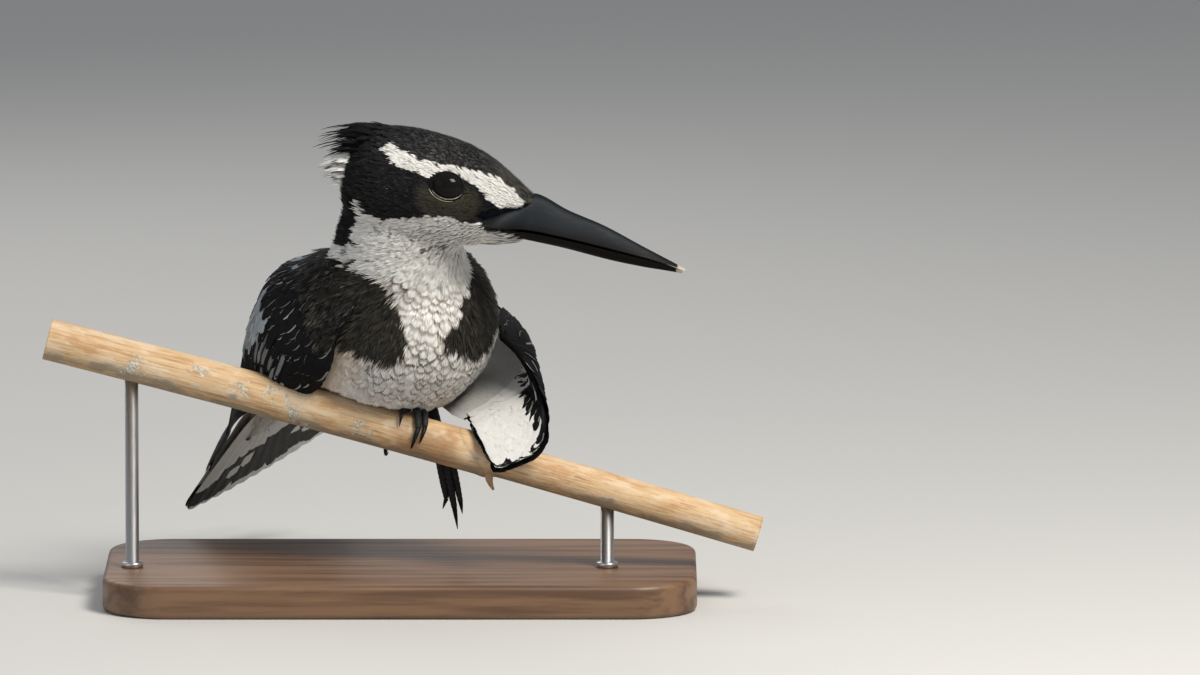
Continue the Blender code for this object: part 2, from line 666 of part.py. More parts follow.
def flesh():
    """Head, neck, trunk and rump as one body."""
    whole = trunk("flesh")
    for piece in (rump("flesh_rump"), neck("flesh_neck"), head("flesh_head")):
        modifier = whole.modifiers.new("join_" + piece.name, "BOOLEAN")
        modifier.operation = "UNION"
        modifier.solver = "EXACT"
        modifier.object = piece
    apply_cuts(whole)
    for name in ("flesh_rump", "flesh_neck", "flesh_head"):
        bpy.data.objects.remove(bpy.data.objects[name])
    return whole


# The flat cuts between parts of the flesh: a point on each, and the way to the part above or behind
HEAD_CUT = (HEAD.at(-8.0, 0.0, -15.5), unit(HEAD.up * 0.93 + HEAD.forward * 0.36))
NECK_CUT = (np.array((1.0, -6.0, 58.0)), unit((0.16, -0.42, 0.89)))
RUMP_CUT = (TRUNK.at(-47.0), -TRUNK.forward)


def between(name, whole, near, far, material):
    """The stretch of the flesh past each cut in near and short of each in far, closed flat."""
    work = bmesh.new()
    work.from_mesh(whole.data)
    sides = [(point, way, 1) for point, way in near] + [(point, way, -1) for point, way in far]
    for point, way, sign in sides:
        place = (np.asarray(point) + sign * way * GAP / 2 + np.array(GRIP)) * MM
        geometry = work.verts[:] + work.edges[:] + work.faces[:]
        bmesh.ops.bisect_plane(work, geom=geometry, plane_co=Vector(place), plane_no=Vector(sign * way),
                               clear_inner=True)
        rim = [edge for edge in work.edges if edge.is_boundary]
        bmesh.ops.holes_fill(work, edges=rim, sides=0)
    mesh = bpy.data.meshes.new(name)
    work.to_mesh(mesh)
    work.free()
    mesh.materials.clear()
    mesh.materials.append(material)
    obj = bpy.data.objects.new(name, mesh)
    bpy.context.scene.collection.objects.link(obj)
    return obj


def makers():
    """Every piece by name, with what makes it. A piece is cut back from those before it."""
    rows = [
        ("stand_base", stand_base), ("perch", perch), ("perch_bud", bud),
        ("eye_right", lambda n, g=0.0: eye(-1, n, g)), ("eye_left", lambda n, g=0.0: eye(1, n, g)),
        ("bill_upper", upper_bill), ("bill_lower", lower_bill),
    ]
    for toe in RIGHT_TOES:
        rows.append((f"claw_right_{toe[0]}", lambda n, g=0.0, t=toe: right_claw(n, t, g)))
        rows.append((f"toe_right_{toe[0]}", lambda n, g=0.0, t=toe: right_toe(n, t, g)))
    for toe in LEFT_TOES:
        rows.append((f"claw_left_{toe[0]}", lambda n, g=0.0, t=toe: left_claw(n, t, g)))
        rows.append((f"toe_left_{toe[0]}", lambda n, g=0.0, t=toe: left_toe(n, t, g)))
    rows += [
        ("leg_right", lambda n, g=0.0: leg(n, HIP_RIGHT, ANKLE_RIGHT, g)),
        ("leg_left", lambda n, g=0.0: leg(n, HIP_LEFT, BALL_LEFT, g)),
        ("head", head), ("neck", neck), ("trunk", trunk), ("rump", rump),
        ("crest", crest), ("tail", tail),
        ("wing_right_arm", lambda n, g=0.0: right_wing(n, 0.0, ARM_END, RIGHT_ARM_THICKNESS, g)),
        ("wing_right_flight", lambda n, g=0.0: right_wing(n, FLIGHT_START, 1.0, RIGHT_FLIGHT_THICKNESS, g)),
        ("wing_left_arm", left_arm), ("wing_left_secondaries", left_secondaries),
        ("wing_left_primaries", left_primaries),
        ("stand_rod_left", lambda n, g=0.0: stand_rod(n, ROD_PLACES[0], g)),
        ("stand_rod_right", lambda n, g=0.0: stand_rod(n, ROD_PLACES[1], g)),
    ]
    return rows


def flesh_parts():
    """The four parts of the flesh, parted by flat cuts."""
    whole = flesh()
    white = finish("white_feather", FEATHER_WHITE)
    parts = {
        "head": between("head", whole, [HEAD_CUT], [], finish("black_feather", FEATHER_BLACK)),
        "neck": between("neck", whole, [NECK_CUT], [HEAD_CUT], white),
        "trunk": between("trunk", whole, [], [NECK_CUT, RUMP_CUT], white),
        "rump": between("rump", whole, [RUMP_CUT], [], white),
    }
    bpy.data.objects.remove(whole)
    return parts


def box_of(obj):
    """Its lowest and highest corners."""
    points = np.array([obj.matrix_world @ vertex.co for vertex in obj.data.vertices])
    return points.min(0), points.max(0)


def boxes_meet(a, b):
    """Whether the boxes of two bodies share any space."""
    low_a, high_a = box_of(a)
    low_b, high_b = box_of(b)
    return bool((low_a < high_b).all() and (low_b < high_a).all())


def main():
    """Makes every node, each cut back from those before it."""
    for obj in list(bpy.data.objects):
        bpy.data.objects.remove(obj)
    parts = flesh_parts()
    done = []
    for name, make in makers():
        piece = parts[name] if name in parts else make(name)
        for earlier, cutter in done:
            if not (name in parts and earlier in parts) and boxes_meet(piece, cutter):
                cut(piece, cutter)
        if piece.modifiers:
            apply_cuts(piece)
        piece.data.shade_smooth()
        done.append((name, as_cutter(make(name + "_clearance", GAP))))


main()
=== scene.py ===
"""Looks of a female pied kingfisher on a cut cane perch: one skin, coat, quills, horn, feet and stand.

Lengths are in millimetres from the bird's grip on the perch, until a mesh is made.
"""
import math

import bpy
import numpy as np
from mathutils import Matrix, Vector
from mathutils.bvhtree import BVHTree


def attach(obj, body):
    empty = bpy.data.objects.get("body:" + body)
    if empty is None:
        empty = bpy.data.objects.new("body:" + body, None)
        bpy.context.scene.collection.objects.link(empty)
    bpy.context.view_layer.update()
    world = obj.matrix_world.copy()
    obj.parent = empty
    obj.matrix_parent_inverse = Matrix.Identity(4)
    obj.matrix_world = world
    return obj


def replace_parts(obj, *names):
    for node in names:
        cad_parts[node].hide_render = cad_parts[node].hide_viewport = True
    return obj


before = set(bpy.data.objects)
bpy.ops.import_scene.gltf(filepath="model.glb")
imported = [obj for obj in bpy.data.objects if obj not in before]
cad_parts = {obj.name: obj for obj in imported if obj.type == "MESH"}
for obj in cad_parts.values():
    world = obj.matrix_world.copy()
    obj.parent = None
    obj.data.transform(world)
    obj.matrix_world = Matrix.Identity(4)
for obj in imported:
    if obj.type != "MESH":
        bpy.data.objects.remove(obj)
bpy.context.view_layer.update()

MM = 0.001
GRIP = np.array((0.0, -12.0, 61.0))
# Material slots of the feathers
DARK, PALE = "black_feather", "white_feather"

# ---------------------------------------------------------------- shapes shared with the solids


def direction(heading, pitch):
    """A way by its degrees round from the viewer to the right, and its degrees above level."""
    h, p = math.radians(heading), math.radians(pitch)
    return np.array([math.sin(h) * math.cos(p), -math.cos(h) * math.cos(p), math.sin(p)])


def unit(vectors):
    vectors = np.asarray(vectors, float)
    return vectors / np.maximum(np.linalg.norm(vectors, axis=-1, keepdims=True), 1e-9)


class Frame:
    """A bird part's own axes: forward, towards its left side, and up."""

    def __init__(self, centre, heading, pitch, roll=0.0):
        self.centre = np.asarray(centre, float)
        self.forward = direction(heading, pitch)
        left = unit(np.cross((0, 0, 1), self.forward))
        up = np.cross(self.forward, left)
        r = math.radians(roll)
        self.left = left * math.cos(r) + up * math.sin(r)
        self.up = up * math.cos(r) - left * math.sin(r)

    def at(self, forward, left=0.0, up=0.0):
        forward, left, up = np.broadcast_arrays(forward, left, up)
        axes = forward[..., None] * self.forward + left[..., None] * self.left + up[..., None] * self.up
        return self.centre + axes

    def way(self, forward, left=0.0, up=0.0):
        return forward * self.forward + left * self.left + up * self.up

    def local(self, points):
        away = np.asarray(points, float) - self.centre
        return away @ self.forward, away @ self.left, away @ self.up


def smooth(knots, places):
    """Rows of numbers interpolated along their first column by a cubic that doesn't overshoot."""
    knots = np.asarray(knots, float)
    x, y = knots[:, 0], knots[:, 1:]
    step = np.diff(x)[:, None]
    slope = np.diff(y, axis=0) / step
    inner = np.where(slope[1:] * slope[:-1] > 0, (slope[1:] + slope[:-1]) / 2, 0)
    inner = np.sign(inner) * np.minimum(abs(inner), 3 * np.minimum(abs(slope[1:]), abs(slope[:-1])))
    tangent = np.vstack([slope[:1], inner, slope[-1:]])
    places = np.clip(np.asarray(places, float), x[0], x[-1])
    i = np.clip(np.searchsorted(x, places, side="right") - 1, 0, len(x) - 2)
    h = step[i, 0]
    t = (places - x[i]) / h
    t2, t3 = t * t, t * t * t
    parts = (2 * t3 - 3 * t2 + 1, (t3 - 2 * t2 + t) * h, 3 * t2 - 2 * t3, (t3 - t2) * h)
    return sum(p[:, None] * v for p, v in zip(parts, (y[i], tangent[i], y[i + 1], tangent[i + 1])))


def curve(knots, places):
    """One number interpolated along knots of (place, value)."""
    places = np.asarray(places, float)
    return smooth(knots, places.ravel())[:, 0].reshape(places.shape)


def step(low, high, value):
    """0 below low, 1 above high, and smooth between."""
    t = np.clip((np.asarray(value, float) - low) / (high - low), 0, 1)
    return t * t * (3 - 2 * t)


def turns_round(count):
    """Angles evenly round a circle."""
    return np.linspace(0, 2 * math.pi, count, endpoint=False)


def hoop(centre, across, up, count):
    """Points round a centre, from two radii given as vectors."""
    turns = turns_round(count)[:, None]
    return centre + np.cos(turns) * across + np.sin(turns) * up


TRUNK = Frame((-4.8, 18.0, 37.8), 34.0, 35.0, -6.0)
HEAD = Frame((14.3, -24.0, 90.6), 86.0, -15.0, 4.0)
TAIL = Frame(TRUNK.at(-62.0, -8.4, 6.2), 34.0, 41.5, 17.0)

TRUNK_KNOTS = (
    (-68, 6, 7, -4), (-60, 11.5, 10.5, -9), (-47, 20.5, 14, -17), (-30, 29.5, 21, -27),
    (-12, 35, 27.5, -34.5), (6, 36.5, 29, -38), (20, 33.5, 25, -36.5), (33, 26.5, 18, -30),
    (42, 17.5, 10, -21), (48, 7, 2, -9),
)
HEAD_KNOTS = (
    (-33, 4, 4, -9), (-30.5, 9.5, 10.5, -16), (-25, 14, 16.6, -20), (-16, 16.8, 19.4, -21.5),
    (-3, 17.2, 20, -21), (8, 16.2, 19, -19.5), (17, 14, 16.2, -17), (25, 11, 12.4, -13.8),
    (31, 8.4, 9.2, -11.4), (35, 6.6, 7.2, -9.8),
)
UPPER_BILL_KNOTS = (
    (15, 9.6, -3.5, -6.2), (20, 9.8, -1.5, -6.4), (27, 9.0, 3, -5.6), (34, 7.4, 7.9, -4.6),
    (46, 5.9, 5.2, -4.0), (60, 4.5, 3.2, -3.8), (75, 2.9, -0.3, -3.8), (87, 1.5, -3.0, -4.2),
    (92, 0.6, -4.2, -4.9),
)
LOWER_BILL_KNOTS = (
    (15, 9.0, -6.6, -8.6), (20, 9.2, -6.8, -9.0), (27, 8.5, -6.0, -9.5), (35, 7.0, -5.0, -9.1),
    (49, 5.5, -4.4, -8.4), (63, 4.2, -4.2, -8.3), (77, 2.7, -4.2, -7.5), (87, 1.4, -4.7, -6.4),
    (91, 0.6, -5.3, -6.0),
)
RIGHT_WING_KNOTS = (
    (33, 28, 0, 6.5, 4, 36, 0), (27, 31.5, 1, 12, 8, 44, 0), (17, 36.5, 3.6, 17.2, 14, 52, 4),
    (6, 42, 5, 22, 17, 57, 12), (-3, 46, 7.7, 21.6, 18, 60, 26), (-13, 45.6, 5, 19.5, 18, 56, 20),
    (-24, 43, 5, 16, 22, 50, 7), (-37, 38, 3.2, 14.4, 32, 40, 0), (-48, 35, 1, 12, 37, 29, 0),
    (-62, 30, 0.5, 10, 39, 20, 0), (-76, 24.5, 0.3, 8, 39, 14, 0), (-92, 22, -0.5, 5.5, 39, 9, 0),
    (-104, 19.6, -1.5, 3, 39, 6, 0), (-110, 18.2, -2, 1.4, 39, 4, 0),
)
RIB_STEPS = (0.0, 26.0, 62.0, 126.0)
LEFT_RIBS = (
    (0.00, (34.0, 9.0, 34.5), (37.0, 32.0, 38.0), (18.0, 58.0, 26.0), (-15.0, 95.0, 0.0)),
    (0.25, (44.0, -1.0, 26.0), (43.0, 24.5, 32.0), (27.0, 54.5, 28.5), (-6.0, 98.0, 15.0)),
    (0.50, (50.5, -8.5, 12.5), (45.5, 15.5, 21.0), (31.0, 47.5, 26.0), (1.0, 101.0, 22.0)),
    (0.72, (51.5, -14.0, 3.5), (41.0, 7.5, 14.0), (26.5, 40.0, 20.0), (1.0, 97.0, 21.0)),
    (0.88, (47.0, -18.5, -5.5), (33.0, 2.0, 7.5), (20.0, 36.0, 14.0), (-4.0, 94.0, 18.0)),
    (1.00, (35.5, -20.5, -10.5), (26.0, -0.8, 4.0), (14.5, 33.0, 9.6), (-9.0, 91.0, 15.0)),
)
TAIL_LENGTH, TAIL_HALF_BASE = 74.0, 9.0
PERCH_RADIUS, PERCH_THIN_RADIUS, PERCH_SLOPE, PERCH_BEND = 7.4, 6.4, 15.5, 0.00009
PERCH_REACH = (-126.0, 128.0)
PERCH_NODE = 32.0


def outside_trunk(point, clearance):
    """The point, pushed out across the trunk to this clearance if it lies inside."""
    along, side, rise = TRUNK.local(point)
    if not TRUNK_KNOTS[0][0] < along < TRUNK_KNOTS[-1][0]:
        return point
    width, top, bottom = smooth(TRUNK_KNOTS, [along])[0]
    middle, half = (top + bottom) / 2, (top - bottom) / 2
    depth = math.hypot(side / (width + clearance), (rise - middle) / (half + clearance))
    return point if depth >= 1 else TRUNK.at(along, side / depth, middle + (rise - middle) / depth)


def right_wing_point(s, c):
    """A point on the folded right wing: s runs from wrist to tip, and c from its lower edge to its upper."""
    knots = np.asarray(RIGHT_WING_KNOTS, float)[::-1]
    along = knots[-1, 0] + s * (knots[0, 0] - knots[-1, 0])
    out, up, chord, lean, bow, tuck = smooth(knots, [along])[0]
    radius = chord / math.sin(math.radians(bow))
    turn = math.radians(lean + (2 * c - 1) * bow - tuck * (1 - c) ** 2)
    lean = math.radians(lean)
    side = -(out + radius * (math.cos(turn) - math.cos(lean)))
    rise = up + radius * (math.sin(turn) - math.sin(lean))
    return outside_trunk(TRUNK.at(along, side, rise), 2.0)


def left_wing_point(s, c):
    """A point on the stretched wing: s runs from shoulder to wrist, and c mm back from its front edge."""
    rows = np.array([[rib[0], *np.ravel(rib[1:])] for rib in LEFT_RIBS])
    rib = smooth(rows, [s])[0].reshape(-1, 3)
    return outside_trunk(smooth(np.column_stack([RIB_STEPS, rib]), [c])[0], 1.2)


def perch_frame(x):
    """The perch's axis at x: its place, and its along, front and top directions."""
    fall = math.tan(math.radians(PERCH_SLOPE))
    centre = np.array([x, 0.0, -fall * x - PERCH_BEND * x * x])
    along = unit((1.0, 0.0, -fall - 2 * PERCH_BEND * x))
    return centre, along, np.array([0.0, -1.0, 0.0]), np.cross((0.0, -1.0, 0.0), along)


def perch_radius(x):
    """The cane is thinner beyond its node, and swells a little at it."""
    thin = 1 / (1 + math.exp(-(x - PERCH_NODE) / 1.2))
    swell = 0.7 * math.exp(-((x - PERCH_NODE) / 2.4) ** 2)
    return PERCH_RADIUS + (PERCH_THIN_RADIUS - PERCH_RADIUS) * thin + swell


def on_perch(x, turn, away):
    """A point away from the perch's surface, by degrees from its front over its top."""
    centre, _, front, top = perch_frame(x)
    t = math.radians(turn)
    return centre + (perch_radius(x) + away) * (front * math.cos(t) + top * math.sin(t))


def value_noise(points, size, seed):
    """Smooth noise from -1 to 1, with cells of this size."""
    p = np.asarray(points, float) / size + seed * 17.31
    cell = np.floor(p)
    f = p - cell
    f = f * f * (3 - 2 * f)
    total = np.zeros(len(p))
    for corner in np.ndindex(2, 2, 2):
        at = cell + corner
        mixed = np.sin(at @ np.array((127.1, 311.7, 74.7))) * 43758.5453
        share = np.prod(np.where(corner, f, 1 - f), axis=1)
        total += share * (mixed - np.floor(mixed))
    return 2 * total - 1


# ---------------------------------------------------------------- finishes


class Wire:
    """A socket in a sum. Arithmetic on it adds the nodes."""

    def __init__(self, paint, socket):
        self.paint, self.socket = paint, socket

    def __add__(self, other):
        return self.paint.maths("ADD", self, other)

    def __sub__(self, other):
        return self.paint.maths("SUBTRACT", self, other)

    def __rsub__(self, other):
        return self.paint.maths("SUBTRACT", other, self)

    def __mul__(self, other):
        return self.paint.maths("MULTIPLY", self, other)

    __radd__, __rmul__ = __add__, __mul__


class Paint:
    """A finish that is being mixed."""

    def __init__(self, name, colour, roughness, **fixed):
        self.material = bpy.data.materials.new(name)
        self.material.use_nodes = True
        self.tree = self.material.node_tree
        self.shader = self.tree.nodes["Principled BSDF"]
        self.set("Base Color", (*colour, 1.0))
        self.set("Roughness", roughness)
        for key, value in fixed.items():
            self.set(key.replace("_", " "), value)

    def set(self, socket, value):
        self.plug(self.shader.inputs[socket], value)
        return self

    def plug(self, socket, value):
        if isinstance(value, Wire):
            self.tree.links.new(value.socket, socket)
        else:
            socket.default_value = value

    def node(self, kind, sockets, output=0, **settings):
        """Any node, from values or wires for its sockets, and its settings."""
        made = self.tree.nodes.new("ShaderNode" + kind)
        for key, value in settings.items():
            setattr(made, key, value)
        for key, value in sockets.items():
            self.plug(made.inputs[key], value)
        return Wire(self, made.outputs[output])

    def maths(self, operation, a, b=0.0):
        return self.node("Math", {0: a, 1: b}, operation=operation)

    def blend(self, a, b, factor, mode="MIX"):
        """Colour a turning to b."""
        a, b = [(*v, 1.0) if isinstance(v, tuple) and len(v) == 3 else v for v in (a, b)]
        return self.node("Mix", {0: factor, 6: a, 7: b}, 2, data_type="RGBA", blend_type=mode)

    def layered(self, tone, *layers):
        """A colour with others laid over it, each with its own share."""
        for colour, share in layers:
            tone = self.blend(tone, colour, share)
        return tone

    def attribute(self, name, output="Fac"):
        return self.node("Attribute", {}, output, attribute_name=name)

    def noise(self, size, detail=2.0, where=None, roughness=0.5, stretch=None):
        """Noise from 0 to 1 with spots about this many mm across, drawn out where stretch is under 1."""
        where = where or self.node("TexCoord", {}, "Object")
        if stretch is not None:
            where = self.node("Mapping", {"Vector": where, "Scale": stretch})
        sockets = {"Vector": where, "Scale": 1 / (size * MM), "Detail": detail, "Roughness": roughness}
        return self.node("TexNoise", sockets)

    def grey(self, value):
        return self.node("CombineColor", {0: value, 1: value, 2: value})

    def between(self, value, low, high):
        """0 below low, 1 above high."""
        sockets = {"Value": value, "From Min": low, "From Max": high}
        return self.node("MapRange", sockets, interpolation_type="SMOOTHSTEP")

    def bump(self, height, strength, depth):
        sockets = {"Height": height, "Strength": strength, "Distance": depth * MM}
        return self.set("Normal", self.node("Bump", sockets))


# ---------------------------------------------------------------- making meshes


def put(name, data):
    """A new object in the scene."""
    made = bpy.data.objects.new(name, data)
    bpy.context.scene.collection.objects.link(made)
    return made


def dye(mesh, key, rows):
    """A colour for each point of the mesh."""
    rgba = np.column_stack([rows, np.ones(len(rows))]).astype(np.float32)
    mesh.attributes.new(key, "FLOAT_COLOR", "POINT").data.foreach_set("color", rgba.ravel())


def piece(name, points, loops, sizes, paint, slot, colours=None, values=None, uv=None):
    """A piece of the bird from points in mm, with its faces as one row of corners and their counts."""
    mesh = bpy.data.meshes.new(name)
    points = (np.asarray(points, float) + GRIP) * MM
    loops, sizes = np.asarray(loops, np.int32).ravel(), np.asarray(sizes, np.int32)
    mesh.vertices.add(len(points))
    mesh.vertices.foreach_set("co", points.astype(np.float32).ravel())
    mesh.loops.add(len(loops))
    mesh.loops.foreach_set("vertex_index", loops)
    mesh.polygons.add(len(sizes))
    mesh.polygons.foreach_set("loop_start", np.r_[0, np.cumsum(sizes)[:-1]].astype(np.int32))
    mesh.polygons.foreach_set("loop_total", sizes)
    mesh.update()
    for key, rows in (colours or {}).items():
        dye(mesh, key, rows)
    for key, row in (values or {}).items():
        mesh.attributes.new(key, "FLOAT", "POINT").data.foreach_set("value", np.asarray(row, np.float32))
    if uv is not None:
        layer = mesh.uv_layers.new(name="OFBake")
        layer.data.foreach_set("uv", np.asarray(uv, np.float32)[loops].ravel())
    mesh.shade_smooth()
    mesh.materials.append(paint.material)
    made = put(name, mesh)
    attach(made, "root")
    return made


def grid_faces(rows, columns, closed=False, start=0):
    """Corners of the quads of a grid of points, closed across its columns if asked."""
    i, j = np.meshgrid(np.arange(rows - 1), np.arange(columns if closed else columns - 1), indexing="ij")
    k = (j + 1) % columns
    low = i * columns
    return start + np.stack([low + j, low + k, low + columns + k, low + columns + j], -1).reshape(-1, 4)


def tube(rings):
    """Points, corners and sizes of a closed body through rings of equally many points."""
    rings = np.asarray(rings, float)
    count, sides = rings.shape[:2]
    points = np.vstack([rings.reshape(-1, 3), rings[0].mean(0), rings[-1].mean(0)])
    quads = grid_faces(count, sides, True)
    j = np.arange(sides)
    k = (j + 1) % sides
    end = (count - 1) * sides
    first = np.column_stack([np.full(sides, count * sides), k, j])
    last = np.column_stack([np.full(sides, count * sides + 1), end + j, end + k])
    loops = np.concatenate([quads.ravel(), first.ravel(), last.ravel()])
    return points, loops, np.r_[np.full(len(quads), 4), np.full(2 * sides, 3)]


def joined(parts):
    """Several (points, corners, sizes) as one."""
    points, loops, sizes, start = [], [], [], 0
    for p, f, n in parts:
        points.append(p)
        loops.append(np.asarray(f).ravel() + start)
        sizes.append(n)
        start += len(p)
    return np.vstack(points), np.concatenate(loops), np.concatenate(sizes)


class Surface:
    """A closed surface in mm that feathers are rooted on."""

    def __init__(self, points, triangles, uv=None):
        self.points, self.triangles, self.uv = np.asarray(points, float), np.asarray(triangles), uv
        self.tree = BVHTree.FromPolygons(self.points.tolist(), self.triangles.tolist())
        a, b, c = (self.points[self.triangles[:, k]] for k in range(3))
        flat = np.cross(b - a, c - a)
        self.areas = np.linalg.norm(flat, axis=1) / 2
        normals = np.zeros_like(self.points)
        for k in range(3):
            np.add.at(normals, self.triangles[:, k], flat)
        self.normals = unit(normals)
        self.face_normals = unit(self.normals[self.triangles].mean(1))

    def nearest(self, points):
        hits = [self.tree.find_nearest(p) for p in points.tolist()]
        return np.array([h[0][:] for h in hits]), self.face_normals[[h[2] for h in hits]]

    def scatter(self, gap, rng, keep=None):
        """Roots about gap mm apart, and their places on the unwrap. keep(places, normals) picks them."""
        tries = int(self.areas.sum() * 9 / gap ** 2)
        faces = rng.choice(len(self.areas), tries, p=self.areas / self.areas.sum())
        u, v = rng.random(tries), rng.random(tries)
        u, v = np.where(u + v > 1, 1 - u, u), np.where(u + v > 1, 1 - v, v)
        weights = np.column_stack([1 - u - v, u, v])
        places = (self.points[self.triangles[faces]] * weights[..., None]).sum(1)
        if keep is not None:
            kept = keep(places, self.face_normals[faces])
            faces, weights, places = faces[kept], weights[kept], places[kept]
        cells, chosen = {}, []
        for n, p in enumerate(places.tolist()):
            x, y, z = int(p[0] // gap), int(p[1] // gap), int(p[2] // gap)
            near = [q for i in (-1, 0, 1) for j in (-1, 0, 1) for k in (-1, 0, 1)
                    for q in cells.get((x + i, y + j, z + k), ())]
            if all((p[0] - q[0]) ** 2 + (p[1] - q[1]) ** 2 + (p[2] - q[2]) ** 2 > gap * gap for q in near):
                cells.setdefault((x, y, z), []).append(p)
                chosen.append(n)
        uv = None
        if self.uv is not None:
            uv = (self.uv[faces[chosen]] * weights[chosen][..., None]).sum(1)
        return places[chosen], uv


STATIONS = 5


def spines(surface, roots, flow, length, depth, rng, lift=0.0, stations=STATIONS, wander=0.11, settle=None):
    """Lines that leave their roots and lie along the surface at a depth, as points, sides and normals."""
    place, normal = surface.nearest(roots)
    way = flow(place)
    turn = rng.normal(0, wander, len(roots))[:, None]
    way = unit(way + turn * np.cross(normal, way))
    rows = []
    stride = (length / (stations - 1))[:, None]
    for k in range(stations):
        way = unit(way - normal * (way * normal).sum(1, keepdims=True))
        share = k / (stations - 1)
        rise = 0.06 + 0.94 * share ** 0.75 if settle is None else 1 - 0.94 * (1 - share) ** settle
        height = depth * rise + lift * share ** 2
        rows.append((place + normal * height[:, None], np.cross(normal, way), normal))
        if k < stations - 1:
            place, normal = surface.nearest(place + way * stride)
            way = unit(0.75 * way + 0.25 * flow(place))
    return [np.stack([row[k] for row in rows], 1) for k in range(3)]


def strands(line, width, count, rng, point=0.35, fray=0.12, soft=0.5, camber=26.0, neck=0.3):
    """Flat tapering strands side by side along each line, like the barbs of a feather."""
    centre, side, normal = line
    many, stations = centre.shape[:2]
    across = np.linspace(-1, 1, count)
    share = 1 - point * across ** 2 - fray * rng.random((many, count))
    along = np.linspace(0, 1, stations)
    t = share[..., None] * along
    at = t * (stations - 1)
    low = np.minimum(at.astype(int), stations - 2)
    part = (at - low)[..., None]
    row = np.arange(many)[:, None, None]
    mid, out, up = ((1 - part) * v[row, low] + part * v[row, low + 1] for v in (centre, side, normal))
    spread = neck + (1 - neck) * step(0, 0.6, t)
    half = width[:, None, None] / 2
    shift = across[None, :, None] * half * spread
    shift = shift + rng.normal(0, 1, (many, count, 1)) * soft * half * 0.14 * t ** 2
    taper = np.interp(along, (0, 0.6, 0.85, 1), (1.0, 1.0, 0.7, 0.15))
    wide = half / count * 1.3 * spread * taper
    rise = -shift ** 2 / (2 * camber) + rng.random((many, count, 1)) * 0.12 * soft * t * half
    points = []
    for sign in (-1, 1):
        points.append(mid + out * (shift + sign * wide)[..., None] + up * rise[..., None])
    points = np.stack(points, 3)
    corners = grid_faces(stations, 2)
    faces = corners[None] + (np.arange(many * count) * stations * 2)[:, None, None]
    shares = np.broadcast_to(along[None, None, :, None], (many, count, stations, 2))
    tuft = np.broadcast_to(np.arange(many)[:, None, None, None], shares.shape)
    lateral = np.broadcast_to(across[None, :, None, None], shares.shape)
    strand = np.broadcast_to(rng.random((many, count))[:, :, None, None], shares.shape)
    marks = [v.ravel() for v in (shares, tuft, lateral, strand)]
    return points.reshape(-1, 3), faces.reshape(-1, 4), marks


# Width of a tuft's patch on the unwrap
PATCH = 0.003


def coat(name, line, width, colours, roots_uv, rng, slot, count, edge=None, **shape):
    """One coat piece. colours are (base, rim, rim strength) of each tuft."""
    points, faces, (shares, tuft, lateral, strand) = strands(line, width, count, rng, **shape)
    base, rim, strength = colours
    edge = shares if edge is None else edge(shares, lateral, tuft)
    values = {"edge": edge, "strength": strength[tuft], "strand": strand, "pick": rng.random(len(base))[tuft]}
    uv = roots_uv[tuft] + PATCH / 2 * np.column_stack([lateral, 2 * shares - 1])
    return piece(name, points, faces, np.full(len(faces), 4), FEATHERS, slot,
                 {"plumage": base[tuft], "rim": rim[tuft]}, values, uv)


def cells(which, many, across=0.0, along=0.5):
    """A cell of the unwrap for each feather, and places in it."""
    rows = math.ceil(math.sqrt(many))
    return np.column_stack([which % rows + 0.5 + 0.45 * across, which // rows + 0.05 + 0.9 * along]) / rows


# ---------------------------------------------------------------- markings

WHITE = np.array((0.72, 0.71, 0.68))
BLACK = np.array((0.0075, 0.0075, 0.0085))
SOFT_BLACK = np.array((0.022, 0.020, 0.017))
GREY = np.array((0.17, 0.17, 0.17))
BROWN = np.array((0.17, 0.115, 0.07))
OLIVE = np.array((0.045, 0.040, 0.028))
PEACH = np.array((0.74, 0.57, 0.43))
FOREHEAD = np.array((0.10, 0.095, 0.08))
GAPE = np.array((0.013, 0.017, 0.022))
# Zones of the bird's markings
CROWN, MASK, BROW, THROAT, BIB, BREAST, BELLY, BACK, NAPE, HORN = range(10)

# Along the head: height of the black mask's lower edge, and the brow's middle and half width
MASK_EDGE = (
    (-34, -8), (-29, -8.5), (-26.5, -12), (-25, -13.5), (-15, -12.2), (-10, -11), (-4, -8.6), (0, -6.8),
    (5, -5.8), (16, -6.2), (22, -6.9), (30, -7.8),
)
BROW_LINE = (
    (-26, 11.6, 0.2), (-21.3, 11.2, 1.9), (-15.2, 9.6, 2.7), (-7.8, 9.3, 2.1), (-1.2, 11.0, 1.3),
    (4.1, 11.4, 1.0), (9, 10.7, 1.5), (14.4, 9.2, 3.2), (19.8, 6.9, 4.3), (25, 5.2, 3.6), (29.5, 4.6, 1.2),
)
HORN_TOP = ((15.5, -3.0), (17.3, -2.3), (22.5, 0.3), (26.5, 2.3), (30.3, 3.6), (34, 5.0))
HORN_BOTTOM = ((15.5, -3.2), (17.3, -3.7), (19.4, -4.8), (21.3, -5.5), (28.7, -6.9), (34, -7.6))
# The white bib down the breast: how far it reaches to the bird's right and left at each height of the trunk
BIB_SIDES = (
    (-31, 13.5, 0.5), (-29.5, 14.0, -2.4), (-27, 15.0, -2.6), (-25, 15.8, -0.6), (-22, 17.4, 3.2),
    (-17, 20.0, 5.5), (-12, 23.4, 7.5), (-7.6, 27.6, 10), (-2.7, 31.4, 12), (1.5, 34.0, 12.5),
    (8, 35.6, 14), (14, 36.5, 17),
)
